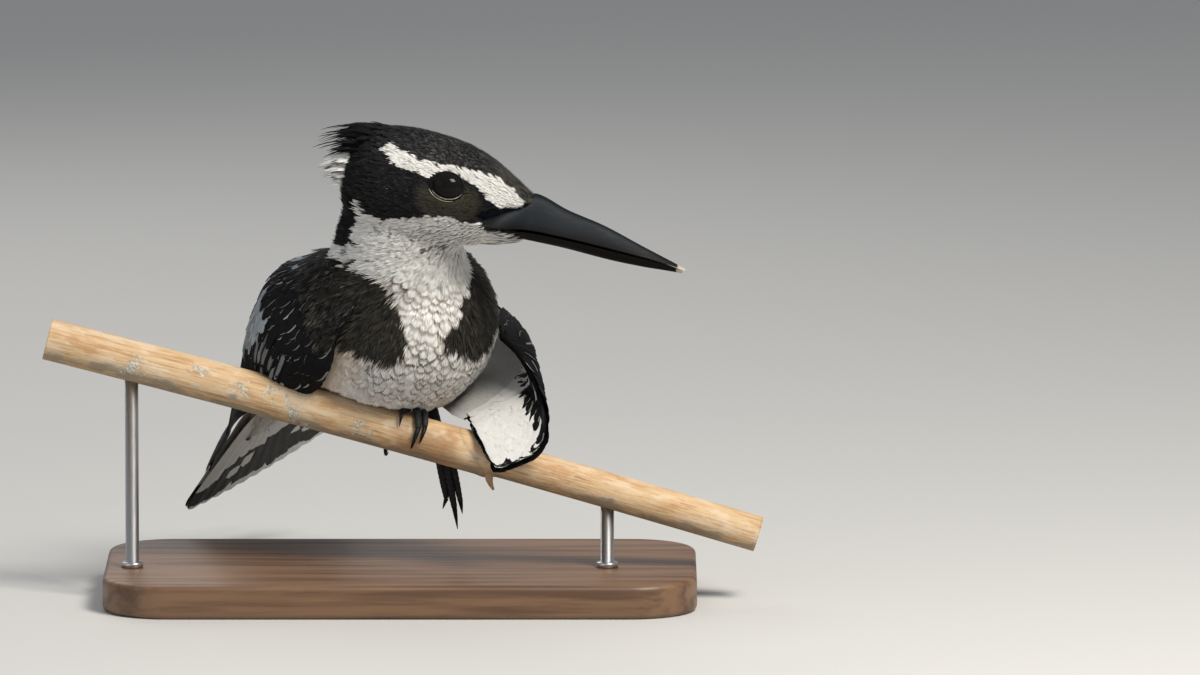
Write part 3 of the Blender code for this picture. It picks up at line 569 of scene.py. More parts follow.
# How far down the trunk the black patches reach, by the distance from the bib: the right one and the left one
RIGHT_PATCH_END = ((0, 26), (1.5, 24), (3.4, 20.2), (8.3, 17.2), (11.4, 14.0), (14, 12.0), (32, 10))
LEFT_PATCH_END = ((0, 32), (4, 29), (9, 28), (16, 24.5), (24, 23), (32, 22))
NAPE_SPREAD = ((55, 76), (62, 70), (68, 62), (77, 50), (85, 46), (92, 36))
EYE_AT = (3.2, 4.8)
# Colour, rim and strength of the rim in each zone
LOOKS = (
    (BLACK, GREY * 0.9, 0.5), (BLACK, GREY * 0.35, 0.25), (WHITE, BROWN * 2.5, 0.0), (WHITE, BROWN, 0.0),
    (WHITE, BROWN * 1.4, 0.6), (SOFT_BLACK, SOFT_BLACK * 3, 0.6), (WHITE * 0.95, BROWN * 0.7, 1.0),
    (BLACK, WHITE * 0.5, 0.45), (BLACK, GREY * 0.4, 0.2), (GAPE, GAPE, 0.0),
)
# Places along, across and up the head of painted shadow: dark spots making a streak in the shaded dip of the
# throat
THROAT_DIP_SHADE = ((0.5, -8.7, -21.6), (2.8, -7.9, -20.6), (5.0, -6.5, -19.4), (7.2, -5.3, -19.2))


def plumage(points):
    """Base colour, rim colour, rim strength and zone at points of the outer coat."""
    points = np.asarray(points, float)
    a, l, u = HEAD.local(points)
    ta, tl, tu = TRUNK.local(points)
    rough = value_noise(points, 2.6, 1) * 0.8 + value_noise(points, 1.1, 2) * 0.5
    fleck = value_noise(points, 1.7, 5)
    height = points[:, 2]
    # nape: black within an angle of the way that the back of the neck faces
    axis_y = np.interp(height, (43, 52, 62, 73, 84), (4, -3, -10, -16, -19))
    heading = np.degrees(np.arctan2(points[:, 0] - 0.6, -(points[:, 1] - axis_y)))
    facing = np.interp(height, (60, 90), (-146, -94))
    off = abs((heading - facing + 180) % 360 - 180)
    nape = (off < curve(NAPE_SPREAD, height) + 4 * rough) & (height > 50)
    head = u > curve(MASK_EDGE, a) + 1.1 * rough
    middle, half = smooth(BROW_LINE, a).T
    in_brow = half - abs(u - middle)
    brow = (in_brow > 0.75 * rough) & (a > -26) & (a < 30) & (abs(l) > 3.0)
    crown = head & (u > middle) & ~brow
    horn = (a > 16) & (u < curve(HORN_TOP, a)) & (u > curve(HORN_BOTTOM, a)) & (abs(l) > 4)
    bib = smooth(BIB_SIDES, tu)
    in_bib = np.where(tl < -6, tl + bib[:, 0], bib[:, 1] - tl)
    aside = np.maximum(-in_bib, 0)
    ends = np.where(tl < -6, curve(RIGHT_PATCH_END, aside), curve(LEFT_PATCH_END, aside))
    front = (ta > ends + 1.8 * rough) & (height < 72)
    zone = np.full(len(points), THROAT)
    upper_back = (abs(tl + 2) < 27) & (tu > 12) & (ta < 44 + rough) & (height < 80)
    low_nape = ~head & nape & ((((ta > 10) | (height > 62)) & (in_bib < 0)) | (height > 70))
    for here, key in (
        (height < 58 - 0.16 * points[:, 0], BIB),
        (front & (in_bib < 1.1 * rough) & ~head, BREAST),
        (~front & (ta < 33) & (height < 62), BELLY),
        ((tu > 7 + 1.5 * rough) & (height < 64) & (ta < 27), BACK),
        (upper_back, BACK),
        (low_nape, NAPE),
        (head & (height > 70), MASK),
        (crown & (height > 70), CROWN),
        (brow & head, BROW),
        (head & nape & (a < -27), NAPE),
        (horn, HORN),
    ):
        zone[here] = key
    base, rim, strength = (np.array(column)[zone] for column in zip(*LOOKS))
    # browner and paler towards the bill, olive under the eye, peach on the flank, flecks on the throat
    forehead = np.where(zone == CROWN, step(8, 26, a) * (0.5 + 0.5 * fleck), 0).clip(0, 1)
    under_eye = step(9.5, 6.5, np.hypot((a - EYE_AT[0] - 1) * 0.7, u - EYE_AT[1] + 5)) * (zone == MASK)
    peach = step(16, 27, -tl) * step(-33, -20, tu) * 0.75 * (zone == BELLY)
    for colour, amount in ((FOREHEAD, forehead), (OLIVE, 0.8 * under_eye), (PEACH, peach)):
        base = base * (1 - amount[:, None]) + colour * amount[:, None]
    strength = strength * np.where(zone == CROWN, 0.25 + 0.75 * step(-26, 8, a), 1)
    strength = strength * np.where(zone == BELLY, step(-4, 14, ta) * (1 - 0.9 * peach), 1)
    # painted shadow in the dip of the throat, near these spots
    spot_field = np.zeros(len(points))
    for place in THROAT_DIP_SHADE:
        spot_field = np.maximum(spot_field, 1 - np.linalg.norm(points - HEAD.at(*place), axis=1) / 1.5)
    throat = step(-30, -14, a) * (0.35 + 0.65 * step(-26, -17, u)) * step(1, -8, l)
    ticked = (value_noise(points, 0.7, 9) > 0.9 - 0.75 * throat) & np.isin(zone, (THROAT, BIB))
    strength = np.where(ticked, 0.95, strength)
    rim[ticked] = BROWN * 0.35
    # tufts darkened with brown: painted shadow in the throat's dip, and dark flecks at the brow's edge
    dark = ((zone == THROAT) & (spot_field > 0.25)) | ((zone == BROW) & (in_brow < 0.5) & (fleck > 0.55))
    base[dark] = base[dark] * 0.2 + BROWN * 0.4
    dot = np.linalg.norm(points - HEAD.at(-17.5, -16.5, -1.1), axis=1) < 0.9
    rim[dot], strength[dot] = WHITE, 1.0
    return base, rim, strength, zone


def flow(points):
    """The way that feathers lie: back from the bill on the head, and back from the throat on the trunk."""
    over_head = unit(points - HEAD.at(62.0, 0.0, 3.0))
    over_trunk = unit(points - TRUNK.at(62.0, -6.0, 4.0))
    high = step(52, 72, points[:, 2])[:, None]
    way = unit(over_head * high + over_trunk * (1 - high))
    # no feather points into the eye
    a, l, u = HEAD.local(points)
    ahead, above = (a - EYE_AT[0])[:, None], (u - EYE_AT[1])[:, None]
    gap = np.hypot(ahead, above)
    out = (ahead * HEAD.forward + above * HEAD.up) / np.maximum(gap, 1e-6)
    near = (1 - step(6.5, 13, gap)) * (abs(l) > 6)[:, None]
    return unit(way - np.minimum((way * out).sum(1, keepdims=True), 0) * near * out)


def coat_length(points):
    """Length of a feather by the place of its root: shortest by the bill, longest on the body."""
    a, _, _ = HEAD.local(points)
    on_head = 1.5 + 0.055 * (30 - np.clip(a, -30, 30))
    high = step(56, 78, points[:, 2])
    return on_head * high + 7.6 * (1 - high)


# ---------------------------------------------------------------- skin

FLESH = ("head", "neck", "trunk", "rump")


def coat_depth(points):
    """How far the skin lies under the tips of the coat."""
    a, _, _ = HEAD.local(points)
    high = step(58, 80, points[:, 2])
    on_head = 1.15 - 0.45 * step(-5, 26, a)
    return 2.3 * (1 - high) + on_head * high


def shown(points, normals):
    """Where a feather rooted here shows: over its tip, at the height of the outer coat."""
    over = flow(points) * (0.72 * coat_length(points))[:, None]
    return points + over + normals * coat_depth(points)[:, None]


def round_eye(points, wide, high):
    """Which points lie within an oval round the eye, seen from the side."""
    a, _, u = HEAD.local(points)
    return ((a - EYE_AT[0]) / wide) ** 2 + ((u - EYE_AT[1]) / high) ** 2 < 1


def evaluated(obj):
    """The object's mesh with its modifiers applied; the object itself goes."""
    graph = bpy.context.evaluated_depsgraph_get()
    mesh = bpy.data.meshes.new_from_object(obj.evaluated_get(graph))
    bpy.data.objects.remove(obj)
    return mesh


def rows_of(items, key, width, kind=np.float32):
    """One row of numbers for each item of a mesh."""
    values = np.empty(len(items) * width, kind)
    items.foreach_get(key, values)
    return values.reshape(-1, width)


def mesh_points(mesh):
    return rows_of(mesh.vertices, "co", 3).astype(float) / MM - GRIP


def mesh_triangles(mesh):
    mesh.calc_loop_triangles()
    return rows_of(mesh.loop_triangles, "vertices", 3, np.int32)


def node_surface(*names):
    """CAD nodes as one surface, in mm."""
    points, triangles, start = [], [], 0
    for name in names:
        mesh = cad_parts[name].data
        points.append(mesh_points(mesh))
        triangles.append(mesh_triangles(mesh) + start)
        start += len(points[-1])
    return Surface(np.vstack(points), np.vstack(triangles))


def make_skin(paint):
    """One smooth skin inside the flesh, by the coat's depth."""
    swell = 0.35
    parts = []
    for name in FLESH:
        solid = node_surface(name)
        sizes = np.full(len(solid.triangles), 3)
        parts.append((solid.points + solid.normals * swell, solid.triangles, sizes))
    # the head's own shape again, to close its sockets under the eyes and the bill
    places = np.linspace(HEAD_KNOTS[0][0] + 1, HEAD_KNOTS[-1][0] - 0.6, 40)
    turns = turns_round(36)
    parts.append(tube([
        HEAD.at(place, width * np.cos(turns), (top + bottom + (top - bottom) * np.sin(turns)) / 2)
        for place, (width, top, bottom) in zip(places, smooth(HEAD_KNOTS, places))]))
    rough = piece("skin_rough", *joined(parts), paint, DARK)
    remesh = rough.modifiers.new("fuse", "REMESH")
    remesh.mode = "VOXEL"
    remesh.voxel_size = 1.1 * MM
    ease = rough.modifiers.new("ease", "SMOOTH")
    ease.iterations = 10
    mesh = evaluated(rough)
    surface = Surface(mesh_points(mesh), mesh_triangles(mesh))
    sunk = surface.points - surface.normals * (coat_depth(surface.points) + swell)[:, None]
    at_horn = plumage(surface.points)[3] == HORN
    under_bill = 2.3
    sunk[at_horn] -= under_bill * surface.normals[at_horn]
    made = put("skin", mesh)
    mesh.vertices.foreach_set("co", ((sunk + GRIP) * MM).astype(np.float32).ravel())
    mesh.update()
    base = plumage(shown(sunk, surface.normals))[0]
    base[round_eye(sunk, 7.4, 5.6)] = BLACK
    dye(mesh, "plumage", base)
    mesh.shade_smooth()
    bpy.context.view_layer.objects.active = made
    made.select_set(True)
    mesh.uv_layers.new(name="OFBake")
    bpy.ops.object.mode_set(mode="EDIT")
    bpy.ops.mesh.select_all(action="SELECT")
    bpy.ops.uv.smart_project(angle_limit=math.radians(70), island_margin=0.004)
    bpy.ops.object.mode_set(mode="OBJECT")
    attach(made, "root")
    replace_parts(made, *FLESH)
    mesh.materials.clear()
    mesh.materials.append(paint.material)
    triangles = mesh_triangles(mesh)
    corners = rows_of(mesh.loop_triangles, "loops", 3, np.int32)
    return Surface(sunk, triangles, rows_of(mesh.uv_layers["OFBake"].data, "uv", 2)[corners])


def plumage_paint(name, gloss):
    """Feathers: their own colour, uneven from tuft to tuft and from strand to strand."""
    paint = Paint(name, (0.5, 0.5, 0.5), 0.62, Specular_IOR_Level=gloss)
    strand, edge = paint.attribute("strand"), paint.attribute("edge")
    mottle = paint.noise(1.4, 3.0)
    rim = paint.between(edge + 0.3 * (strand - 0.5), 0.62, 0.95) * paint.attribute("strength")
    tone = paint.blend(paint.attribute("plumage", "Color"), paint.attribute("rim", "Color"), rim)
    shade = 0.70 + 0.24 * strand + 0.2 * paint.attribute("pick") + 0.24 * (mottle - 0.5)
    paint.set("Base Color", paint.blend(tone, paint.grey(shade), 1.0, "MULTIPLY"))
    return paint.set("Roughness", 0.5 + 0.25 * mottle)


FEATHERS = plumage_paint("feathers", 0.08)
SKIN = plumage_paint("feathered_skin", 0.05)
skin = make_skin(SKIN)
wings = node_surface("wing_right_arm", "wing_right_flight", "wing_left_arm", "wing_left_secondaries", "tail")


def wing_gap(points):
    """How far each point is from the wings and the tail."""
    return np.array([wings.tree.find_nearest(p)[3] for p in points.tolist()])


def bare(points):
    """Round the eye and under the root of the bill, where no feather grows."""
    a, l, u = HEAD.local(points)
    eye = round_eye(points, 6.6, 5.2) & (abs(l) > 8)
    return eye | ((a > 33) & (u < 6.0)) | (plumage(points)[3] == HORN)


def body_roots(zones, gap, rng, region=None):
    """Roots of the feathers that show in these zones."""

    def keep(points, normals):
        kept = np.isin(plumage(shown(points, normals))[3], zones) & ~bare(points)
        if region is not None:
            kept &= region(points)
        index = np.where(kept)[0]
        kept[index] = wing_gap(points[index]) > (0.4 if BREAST in zones else 1.6)
        return kept

    return skin.scatter(gap, rng, keep)


def vary(rng, values, amount=0.15):
    """The values, each a little more or less."""
    return values * rng.uniform(1 - amount, 1 + amount, len(values))


def body_coat(name, zones, gap, seed, width, count, stretch=1.0, region=None, slot=DARK, rise=1.0,
              facing=1, **shape):
    """Tufts of fine strands over some zones of the body. width is a share of the length."""
    rng = np.random.default_rng(seed)
    roots, uv = body_roots(zones, gap, rng, region)
    long = vary(rng, coat_length(roots) * stretch)
    depth = coat_depth(roots) * rng.uniform(0.8, 1.1, len(roots)) * rise
    lift = 3.4 * step(9, 2, wing_gap(roots)) * (BREAST in zones)
    line = spines(skin, roots, lambda points: facing * flow(points), long, depth, rng, lift)
    base, rim, strength, _ = plumage(line[0][:, -2])
    width = vary(rng, long * width)
    strength = (strength * rng.uniform(0, 1.6, len(roots))).clip(0, 1)
    coat(name, line, width, (base, rim, strength), uv, rng, slot, count, **shape)


def above_eye(points):
    return HEAD.local(points)[2] > 4.0


def below_eye(points):
    return ~above_eye(points)


def at_nape(points):
    return (HEAD.local(points)[0] < -20) & (points[:, 2] > 60)


def at_chin(points):
    a, _, u = HEAD.local(points)
    return (a > 17) & (u < -5.0)


HEAD_ZONES = (CROWN, MASK, BROW, NAPE)
body_coat("coat_crown", HEAD_ZONES, gap=0.62, seed=11, width=0.27, count=4, stretch=1.3,
          region=above_eye, soft=1.5, fray=0.3)
body_coat("coat_cheek", HEAD_ZONES, gap=0.62, seed=12, width=0.34, count=4, stretch=1.1,
          region=below_eye, soft=1.4, fray=0.25)
body_coat("coat_nape", (CROWN, MASK, NAPE), gap=1.0, seed=19, width=0.32, count=6, stretch=1.25,
          region=at_nape, rise=2.6, soft=1.6, fray=0.4)
body_coat("coat_throat", (THROAT,), gap=0.85, seed=13, width=0.38, count=6, slot=PALE, soft=1.0, fray=0.2)
body_coat("coat_chin", (THROAT,), gap=0.8, seed=20, width=0.2, count=5, stretch=3.6,
          region=at_chin, slot=PALE, rise=1.3, facing=-1, soft=1.0, fray=0.3)
body_coat("coat_breast_black", (BREAST,), gap=1.1, seed=15, width=0.36, count=8, rise=1.05,
          soft=2.2, fray=0.4)


# ---------------------------------------------------------------- sheets, beds and quills


class Sheet(Surface):
    """One face of a curved sheet, to lay feathers on."""

    def __init__(self, grid, thickness, us, vs, towards):
        self.us, self.vs = us, vs
        normals = unit(np.cross(np.gradient(grid, axis=0), np.gradient(grid, axis=1)))
        side = 1.0 if (normals @ np.asarray(towards, float)).mean() > 0 else -1.0
        self.grid = grid + normals * side * np.asarray(thickness)[..., None] / 2
        quads = grid_faces(len(us), len(vs))
        if side > 0:
            quads = quads[:, ::-1]
        super().__init__(self.grid.reshape(-1, 3), np.vstack([quads[:, [0, 1, 2]], quads[:, [0, 2, 3]]]))
        spread = np.stack(np.meshgrid(us, vs, indexing="ij"), -1).reshape(-1, 2)
        self.spread = spread[self.triangles].mean(1)

    def at(self, u, v):
        """Points at these places across and along the sheet."""
        i = np.interp(u, self.us, np.arange(len(self.us)))
        j = np.interp(v, self.vs, np.arange(len(self.vs)))
        a, b = np.minimum(i.astype(int), len(self.us) - 2), np.minimum(j.astype(int), len(self.vs) - 2)
        p, q = (i - a)[:, None], (j - b)[:, None]
        low = self.grid[a, b] * (1 - q) + self.grid[a, b + 1] * q
        high = self.grid[a + 1, b] * (1 - q) + self.grid[a + 1, b + 1] * q
        return low * (1 - p) + high * p

    def where(self, points):
        """The u and v of points near the sheet."""
        return self.spread[[self.tree.find_nearest(p)[2] for p in points.tolist()]].T


def sheets(surface, across, along, thickness, towards):
    """Both faces of a curved sheet: the one that looks this way, and the other."""
    us, vs = np.linspace(*across), np.linspace(*along)
    grid = np.array([[surface(u, v) for v in vs] for u in us])
    full = np.array([[thickness(u, v) for v in vs] for u in us])
    towards = np.asarray(towards, float)
    return Sheet(grid, full, us, vs, towards), Sheet(grid, full, us, vs, -towards)


def bed(name, faces, colours, slot, nodes):
    """A closed thin body under the feathers of a wing or a tail, with a colour for each face."""
    front, back = faces
    rows, columns = len(front.us), len(front.vs)
    count = rows * columns
    rim = [(i, 0) for i in range(rows)] + [(rows - 1, j) for j in range(1, columns)]
    rim += [(i, columns - 1) for i in range(rows - 2, -1, -1)] + [(0, j) for j in range(columns - 2, 0, -1)]
    rim = np.array([i * columns + j for i, j in rim])
    after = np.roll(rim, -1)
    strip = np.column_stack([rim, after, after + count, rim + count])
    quads = np.vstack([grid_faces(rows, columns), grid_faces(rows, columns, start=count)[:, ::-1], strip])
    points = np.vstack([front.points, back.points])
    tint = np.vstack([same(colour, count) for colour in colours])
    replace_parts(piece(name, points, quads, np.full(len(quads), 4), FEATHERS, slot, {"plumage": tint}), *nodes)


def vanes(name, line, width, colours, mark, slot, columns=9, stations=9, camber=30.0, tip=0.22, root=0.35,
          bunch=1.4, shaft=0.22):
    """Whole vanes with a raised shaft along each line. The rim colour shows where mark(...) is over 0."""
    centre, side, normal = line
    base, rim, strength = colours
    many = len(centre)
    across = np.linspace(-1, 1, columns)
    along = 1 - (1 - np.linspace(0, 1, stations)) ** bunch
    at = along * (centre.shape[1] - 1)
    low = np.minimum(at.astype(int), centre.shape[1] - 2)
    part = (at - low)[None, :, None]
    mid, out, up = ((1 - part) * v[:, low] + part * v[:, low + 1] for v in (centre, side, normal))
    blunt = np.sqrt(np.clip(1 - ((along - 1 + tip) / tip).clip(0, 1) ** 2, 0.015, 1))
    outline = np.minimum(root + 3.2 * along, 1) * blunt
    shift = across * (width[:, None] / 2 * outline)[..., None]
    rise = -shift ** 2 / (2 * camber) + shaft * np.exp(-(across * 6) ** 2)
    points = mid[:, :, None] + out[:, :, None] * shift[..., None] + up[:, :, None] * rise[..., None]
    quads = grid_faces(stations, columns)[None] + (np.arange(many) * stations * columns)[:, None, None]
    which, share, lateral = np.broadcast_arrays(np.arange(many)[:, None, None], along[:, None], across)
    which, share, lateral = which.ravel(), share.ravel(), lateral.ravel()
    quads = quads.reshape(-1, 4)
    values = {"share": share, "across": lateral, "pick": (which * 0.618) % 1, "strength": strength[which],
              "mark": mark(share, lateral, which)}
    piece(name, points.reshape(-1, 3), quads, np.full(len(quads), 4), QUILLS, slot,
          {"plumage": base[which], "rim": rim[which]}, values, cells(which, many, lateral, share))


def quill_paint(name, gloss):
    """Vanes: fine barbs slanting out from the shaft, and a crisp two-tone pattern."""
    paint = Paint(name, (0.5, 0.5, 0.5), 0.5, Specular_IOR_Level=gloss)
    share, across = paint.attribute("share"), paint.attribute("across")
    slant = share - 0.16 * paint.maths("ABSOLUTE", across)
    barbs = paint.node("CombineXYZ", {0: slant * 34, 1: across * 1.2, 2: paint.attribute("pick") * 90})
    barb = paint.node("TexNoise", {"Vector": barbs, "Scale": 1.0, "Detail": 2.0})
    mottle = paint.noise(2.2, 3.0)
    mask = paint.between(paint.attribute("mark") + 0.30 * (barb - 0.5) + 0.16 * (mottle - 0.5), -0.02, 0.03)
    tone = paint.blend(paint.attribute("plumage", "Color"), paint.attribute("rim", "Color"),
                       mask * paint.attribute("strength"))
    shade = 0.88 + 0.26 * (barb - 0.5) + 0.2 * (mottle - 0.5)
    paint.set("Base Color", paint.blend(tone, paint.grey(shade), 1.0, "MULTIPLY"))
    paint.set("Roughness", 0.42 + 0.25 * barb)
    return paint.bump(barb, 0.35, 0.1)


QUILLS = quill_paint("quills", 0.07)


def along_way(way):
    return lambda points: np.broadcast_to(unit(way), points.shape)


def towards_point(target):
    return lambda points: unit(np.asarray(target, float) - points)


def same(colour, many):
    """One row for each, all alike."""
    return np.broadcast_to(np.asarray(colour, float), (many, 3))


def scale_edge(reach, width):
    """Where the rim of a rounded feather lies: round its tip and down its sides."""
    def edge(share, across, which):
        side = (abs(across) - 1 + width) / width * step(0.35, 0.6, share)
        return 1.35 * np.maximum((share - 1 + reach) / reach, side).clip(0, 1)
    return edge


def body_scales(name, zones, gap, seed, width, slot, stretch, strong, edge):
    """Rounded feathers of fine strands with a thin rim over some zones of the body."""
    rng = np.random.default_rng(seed)
    roots, uv = body_roots(zones, gap, rng)
    many = len(roots)
    long = vary(rng, coat_length(roots) * stretch, 0.12)
    depth = coat_depth(roots) * rng.uniform(0.94, 1.06, many)
    line = spines(skin, roots, flow, long, depth, rng, settle=1.8)
    base, rim, strength, _ = plumage(line[0][:, -2])
    strength = (strength * rng.uniform(0.15, 1.5, many)).clip(0, 1)
    if strong is not None:
        bars_here = strong(line[0][:, -1])
        strength = np.maximum(strength, bars_here * rng.uniform(0.5, 1.2, many)).clip(0, 1)
        rim = np.where((bars_here > 0.3)[:, None], BROWN * 0.55, rim)
    coat(name, line, vary(rng, np.full(many, width), 0.14), (base, rim, strength), uv, rng, slot, 13, edge,
         point=0.40, fray=0.05, soft=0.3, camber=12.0, neck=0.45)


def barred(points):
    """The brown bars under the throat, a little to the bird's left, and those between the black patches."""
    ta, tl, _ = TRUNK.local(points)
    throat = step(60, 66, points[:, 2]) * step(6, 12, points[:, 0])
    across = step(-29, -25, tl) * step(6, 0, tl)
    below = step(20, 24, ta) * step(31, 27, ta) * across * step(44, 38, points[:, 2])
    return 0.95 * np.maximum(throat, below) * (value_noise(points, 2.0, 12) > -0.35)


body_scales("coat_bib", (BIB,), gap=2.1, seed=14, width=4.7, slot=PALE, stretch=0.95, strong=barred,
            edge=scale_edge(0.38, 0.3))
body_scales("coat_belly", (BELLY,), gap=2.1, seed=16, width=5.0, slot=PALE, stretch=1.05, strong=barred,
            edge=scale_edge(0.36, 0.28))
body_scales("coat_back", (BACK,), gap=2.3, seed=17, width=5.6, slot=DARK, stretch=1.4, strong=None,
            edge=scale_edge(0.12, 0.16))


def flight(name, sheet, us, vs, target, length, width, depth, rise, seed, colour, edge, mark, stations):
    """Long quills rooted at these places of a sheet, each a little above the one before."""
    rng = np.random.default_rng(seed)
    roots = sheet.at(us, vs)
    many = len(roots)
    height = depth + np.arange(many) * rise
    line = spines(sheet, roots, target, length * np.ones(many), height, rng, 0.0, stations, 0.02)
    vanes(name, line, width * np.ones(many), (same(colour, many), same(edge, many), np.ones(many)), mark,
          DARK, stations=stations, bunch=1.1, tip=0.12, camber=160, root=0.8)


def coverts(name, sheet, target, gap, length, width, seed, paint_by, mark, slot, depth, keep=None, **shape):
    """Short feathers over a wing. paint_by(u, v, rng) gives their colours where they show."""
    rng = np.random.default_rng(seed)
    roots, _ = sheet.scatter(gap, rng, keep)
    many = len(roots)
    long = vary(rng, np.full(many, length))
    height = depth * rng.uniform(0.9, 1.1, many)
    line = spines(sheet, roots, target, long, height, rng, wander=0.08, settle=1.6)
    u, v = sheet.where(line[0][:, -2])
    vanes(name, line, vary(rng, np.full(many, width)), paint_by(u, v, rng), mark, slot, **shape)


# Right wing, folded. u runs from its lower edge to its upper, and v from wrist to tip.


def right_thickness(u, v):
    """The folded wing's bed is thicker over the arm."""
    full = 3.6 if v < 0.36 else 2.4
    return 0.6 + (full - 0.6) * max(0.0, 1 - v / 0.7) * math.sin(math.pi * (0.06 + 0.88 * u)) ** 0.6


def bars(share, across, which):
    """White bars across the inner half of each vane."""
    return np.sin(share * 34 + which * 1.3) * 0.5 - 0.25 - 0.9 * step(-0.2, 0.3, across)


def one_edge(share, across, which):
    """A thin pale line down one side of the vane."""
    reach = 0.78 + 0.14 * np.sin(which * 2.1)
    return np.minimum((across * np.where(which % 3 == 0, -1, 1)) - reach, (share - 0.35) * 2) * 3


def pale_heart(share, across, which):
    """A broad pale middle to the vane."""
    return np.minimum(np.minimum(0.5 - abs(across), 0.93 - share), share * 2 - 0.7) * 1.6


def right_arm_paint(u, v, rng):
    """Black with thin pale edges, a pale bar across the wing painted blue-grey as in shade, and painted
    blue-grey highlights at its upper front.
    """
    many = len(u)
    # pale bar across the wing, painted blue-grey and darker than white as in shade
    strip = step(0.235, 0.265, v) * step(0.36, 0.42, u) * step(0.68, 0.60, u)
    # painted highlight: blue-grey on some feathers at the wing's upper front
    upper = step(0.70, 0.78, u) * step(0.25, 0.20, v) * 0.5
    pale = (rng.random(many) < np.maximum(strip, upper))[:, None]
    base = np.where(pale, np.array((0.36, 0.40, 0.43)) * (0.7 + 0.5 * rng.random((many, 1))), BLACK)
    rim = same((0.30, 0.31, 0.32), many) * (0.5 + 0.9 * rng.random((many, 1)))
    strength = np.where(rng.random(many) < 0.62, 0.5 + 0.5 * rng.random(many), 0.0)
    return base, rim, strength


right_faces = sheets(lambda u, v: right_wing_point(v, u), (0, 1, 25), (0, 1, 61), right_thickness,
                     -TRUNK.left)
bed("wing_right_bed", right_faces, (BLACK, BLACK), DARK, ("wing_right_arm", "wing_right_flight"))
RIGHT_TIP = TRUNK.at(-170.0, -18.0, -4.0)
RIGHT_FLOW = towards_point((-66.0, 22.0, -30.0))
outer = right_faces[0]
fan = np.linspace(0, 1, 9)
flight("wing_right_primaries", outer, 0.08 + 0.42 * fan, 0.30 + 0.18 * fan, towards_point(RIGHT_TIP),
       length=100 - 22 * fan, width=9.0, depth=0.3, rise=0.06, seed=31, colour=BLACK * 1.6,
       edge=WHITE * 0.8, mark=bars, stations=16)
fan = np.linspace(0, 1, 11)
flight("wing_right_secondaries", outer, 0.12 + 0.8 * fan, 0.24 + 0.1 * fan, towards_point(RIGHT_TIP),
       length=50.0, width=10.0, depth=0.9, rise=0.07, seed=32, colour=BLACK, edge=WHITE * 0.9,
       mark=bars, stations=12)


def on_arm(points, normals):
    return TRUNK.local(points)[0] > -24


def on_front_arm(points, normals):
    return TRUNK.local(points)[0] > 15 + 2.5 * value_noise(points, 3.0, 21)


def low_arm(points, normals):
    u, v = outer.where(points)
    return (u > 0.19) & (u < 0.44) & (v > 0.18) & (v < 0.27)


def low_paint(u, v, rng):
    """Black round a grey heart, on four feathers of five."""
    many = len(u)
    rim = same((0.20, 0.215, 0.225), many) * (0.6 + 0.8 * rng.random((many, 1)))
    return same(BLACK, many), rim, (rng.random(many) < 0.8) * 1.0


coverts("wing_right_coverts", outer, RIGHT_FLOW, gap=2.1, length=11.0, width=3.6, seed=33,
        paint_by=right_arm_paint, mark=one_edge, slot=DARK, depth=1.3, keep=on_arm, tip=0.3, camber=9)
coverts("wing_right_greater", outer, RIGHT_FLOW, gap=3.3, length=18.0, width=3.2, seed=43,
        paint_by=low_paint, mark=pale_heart, slot=DARK, depth=1.9, keep=low_arm, tip=0.3, camber=9)


def shoulder_tufts():
    """Soft dark tufts of the breast's side, which lie over the front of the folded wing."""
    rng = np.random.default_rng(44)
    roots, _ = outer.scatter(1.25, rng, on_front_arm)
    many = len(roots)
    length = vary(rng, np.full(many, 7.5))
    line = spines(outer, roots, RIGHT_FLOW, length, 2.4 * rng.uniform(0.8, 1.2, many), rng, wander=0.25)
    base = np.where(rng.random((many, 1)) < 0.5, SOFT_BLACK * 0.8, BLACK)
    rim = SOFT_BLACK * (2.0 + 5.0 * rng.random((many, 1)) ** 3)
    width = rng.uniform(2.2, 3.4, many)
    coat("wing_right_shoulder", line, width, (base, rim, rng.random(many)), cells(np.arange(many), many), rng,
         DARK, 8, soft=2.2, fray=0.4)


shoulder_tufts()

# Left wing, stretched, its underside to the viewer. u runs from shoulder to wrist, v back from the edge.
UNDER = np.array((-0.97, -0.23, 0.08))
BACKWARD = along_way((-0.42, 0.9, -0.05))
DARK_EDGE = (
    (0, 24), (0.3, 29), (0.6, 30), (0.66, 29), (0.69, 24), (0.73, 17), (0.75, 10), (0.77, 4.5), (0.80, 2.6),
    (0.86, 1.8), (0.95, 0.8), (1, 0.8),
)


def left_flow(points):
    """Down towards the wrist near the front edge, and back over the rest."""
    down = step(16, -6, points[:, 1])[:, None]
    return unit(np.array((-0.05, -0.38, -0.9)) * down + np.array((-0.42, 0.9, -0.05)) * (1 - down))


def left_thickness(u, v):
    along = math.sin(math.pi * (0.14 + 0.72 * u)) ** 0.5
    return 0.8 + 3.0 * along * math.sin(math.pi * min(0.93, 0.13 + 0.8 * v / 30))


def left_under_paint(u, v, rng):
    """White, and black with white streaks along the front edge."""
    many = len(u)
    dark = v < curve(DARK_EDGE, u) + rng.normal(0, 0.8, many) * (u < 0.75) + rng.normal(0, 0.25, many)
    black = (dark & ~((u > 0.25) & (rng.random(many) < 0.22)))[:, None]
    base = np.where(black, BLACK, WHITE * (0.94 + 0.06 * rng.random((many, 1))))
    rim = np.where(black, WHITE * 0.6, np.where(dark[:, None], BLACK, WHITE * 0.8))
    strength = np.where(dark, (rng.random(many) < 0.75) * (0.3 + 0.7 * rng.random(many)), 0.0)
    return base, rim, strength


def left_upper_paint(u, v, rng):
    many = len(u)
    return same(BLACK, many), same(WHITE * 0.6, many), (rng.random(many) < 0.7) * rng.random(many)


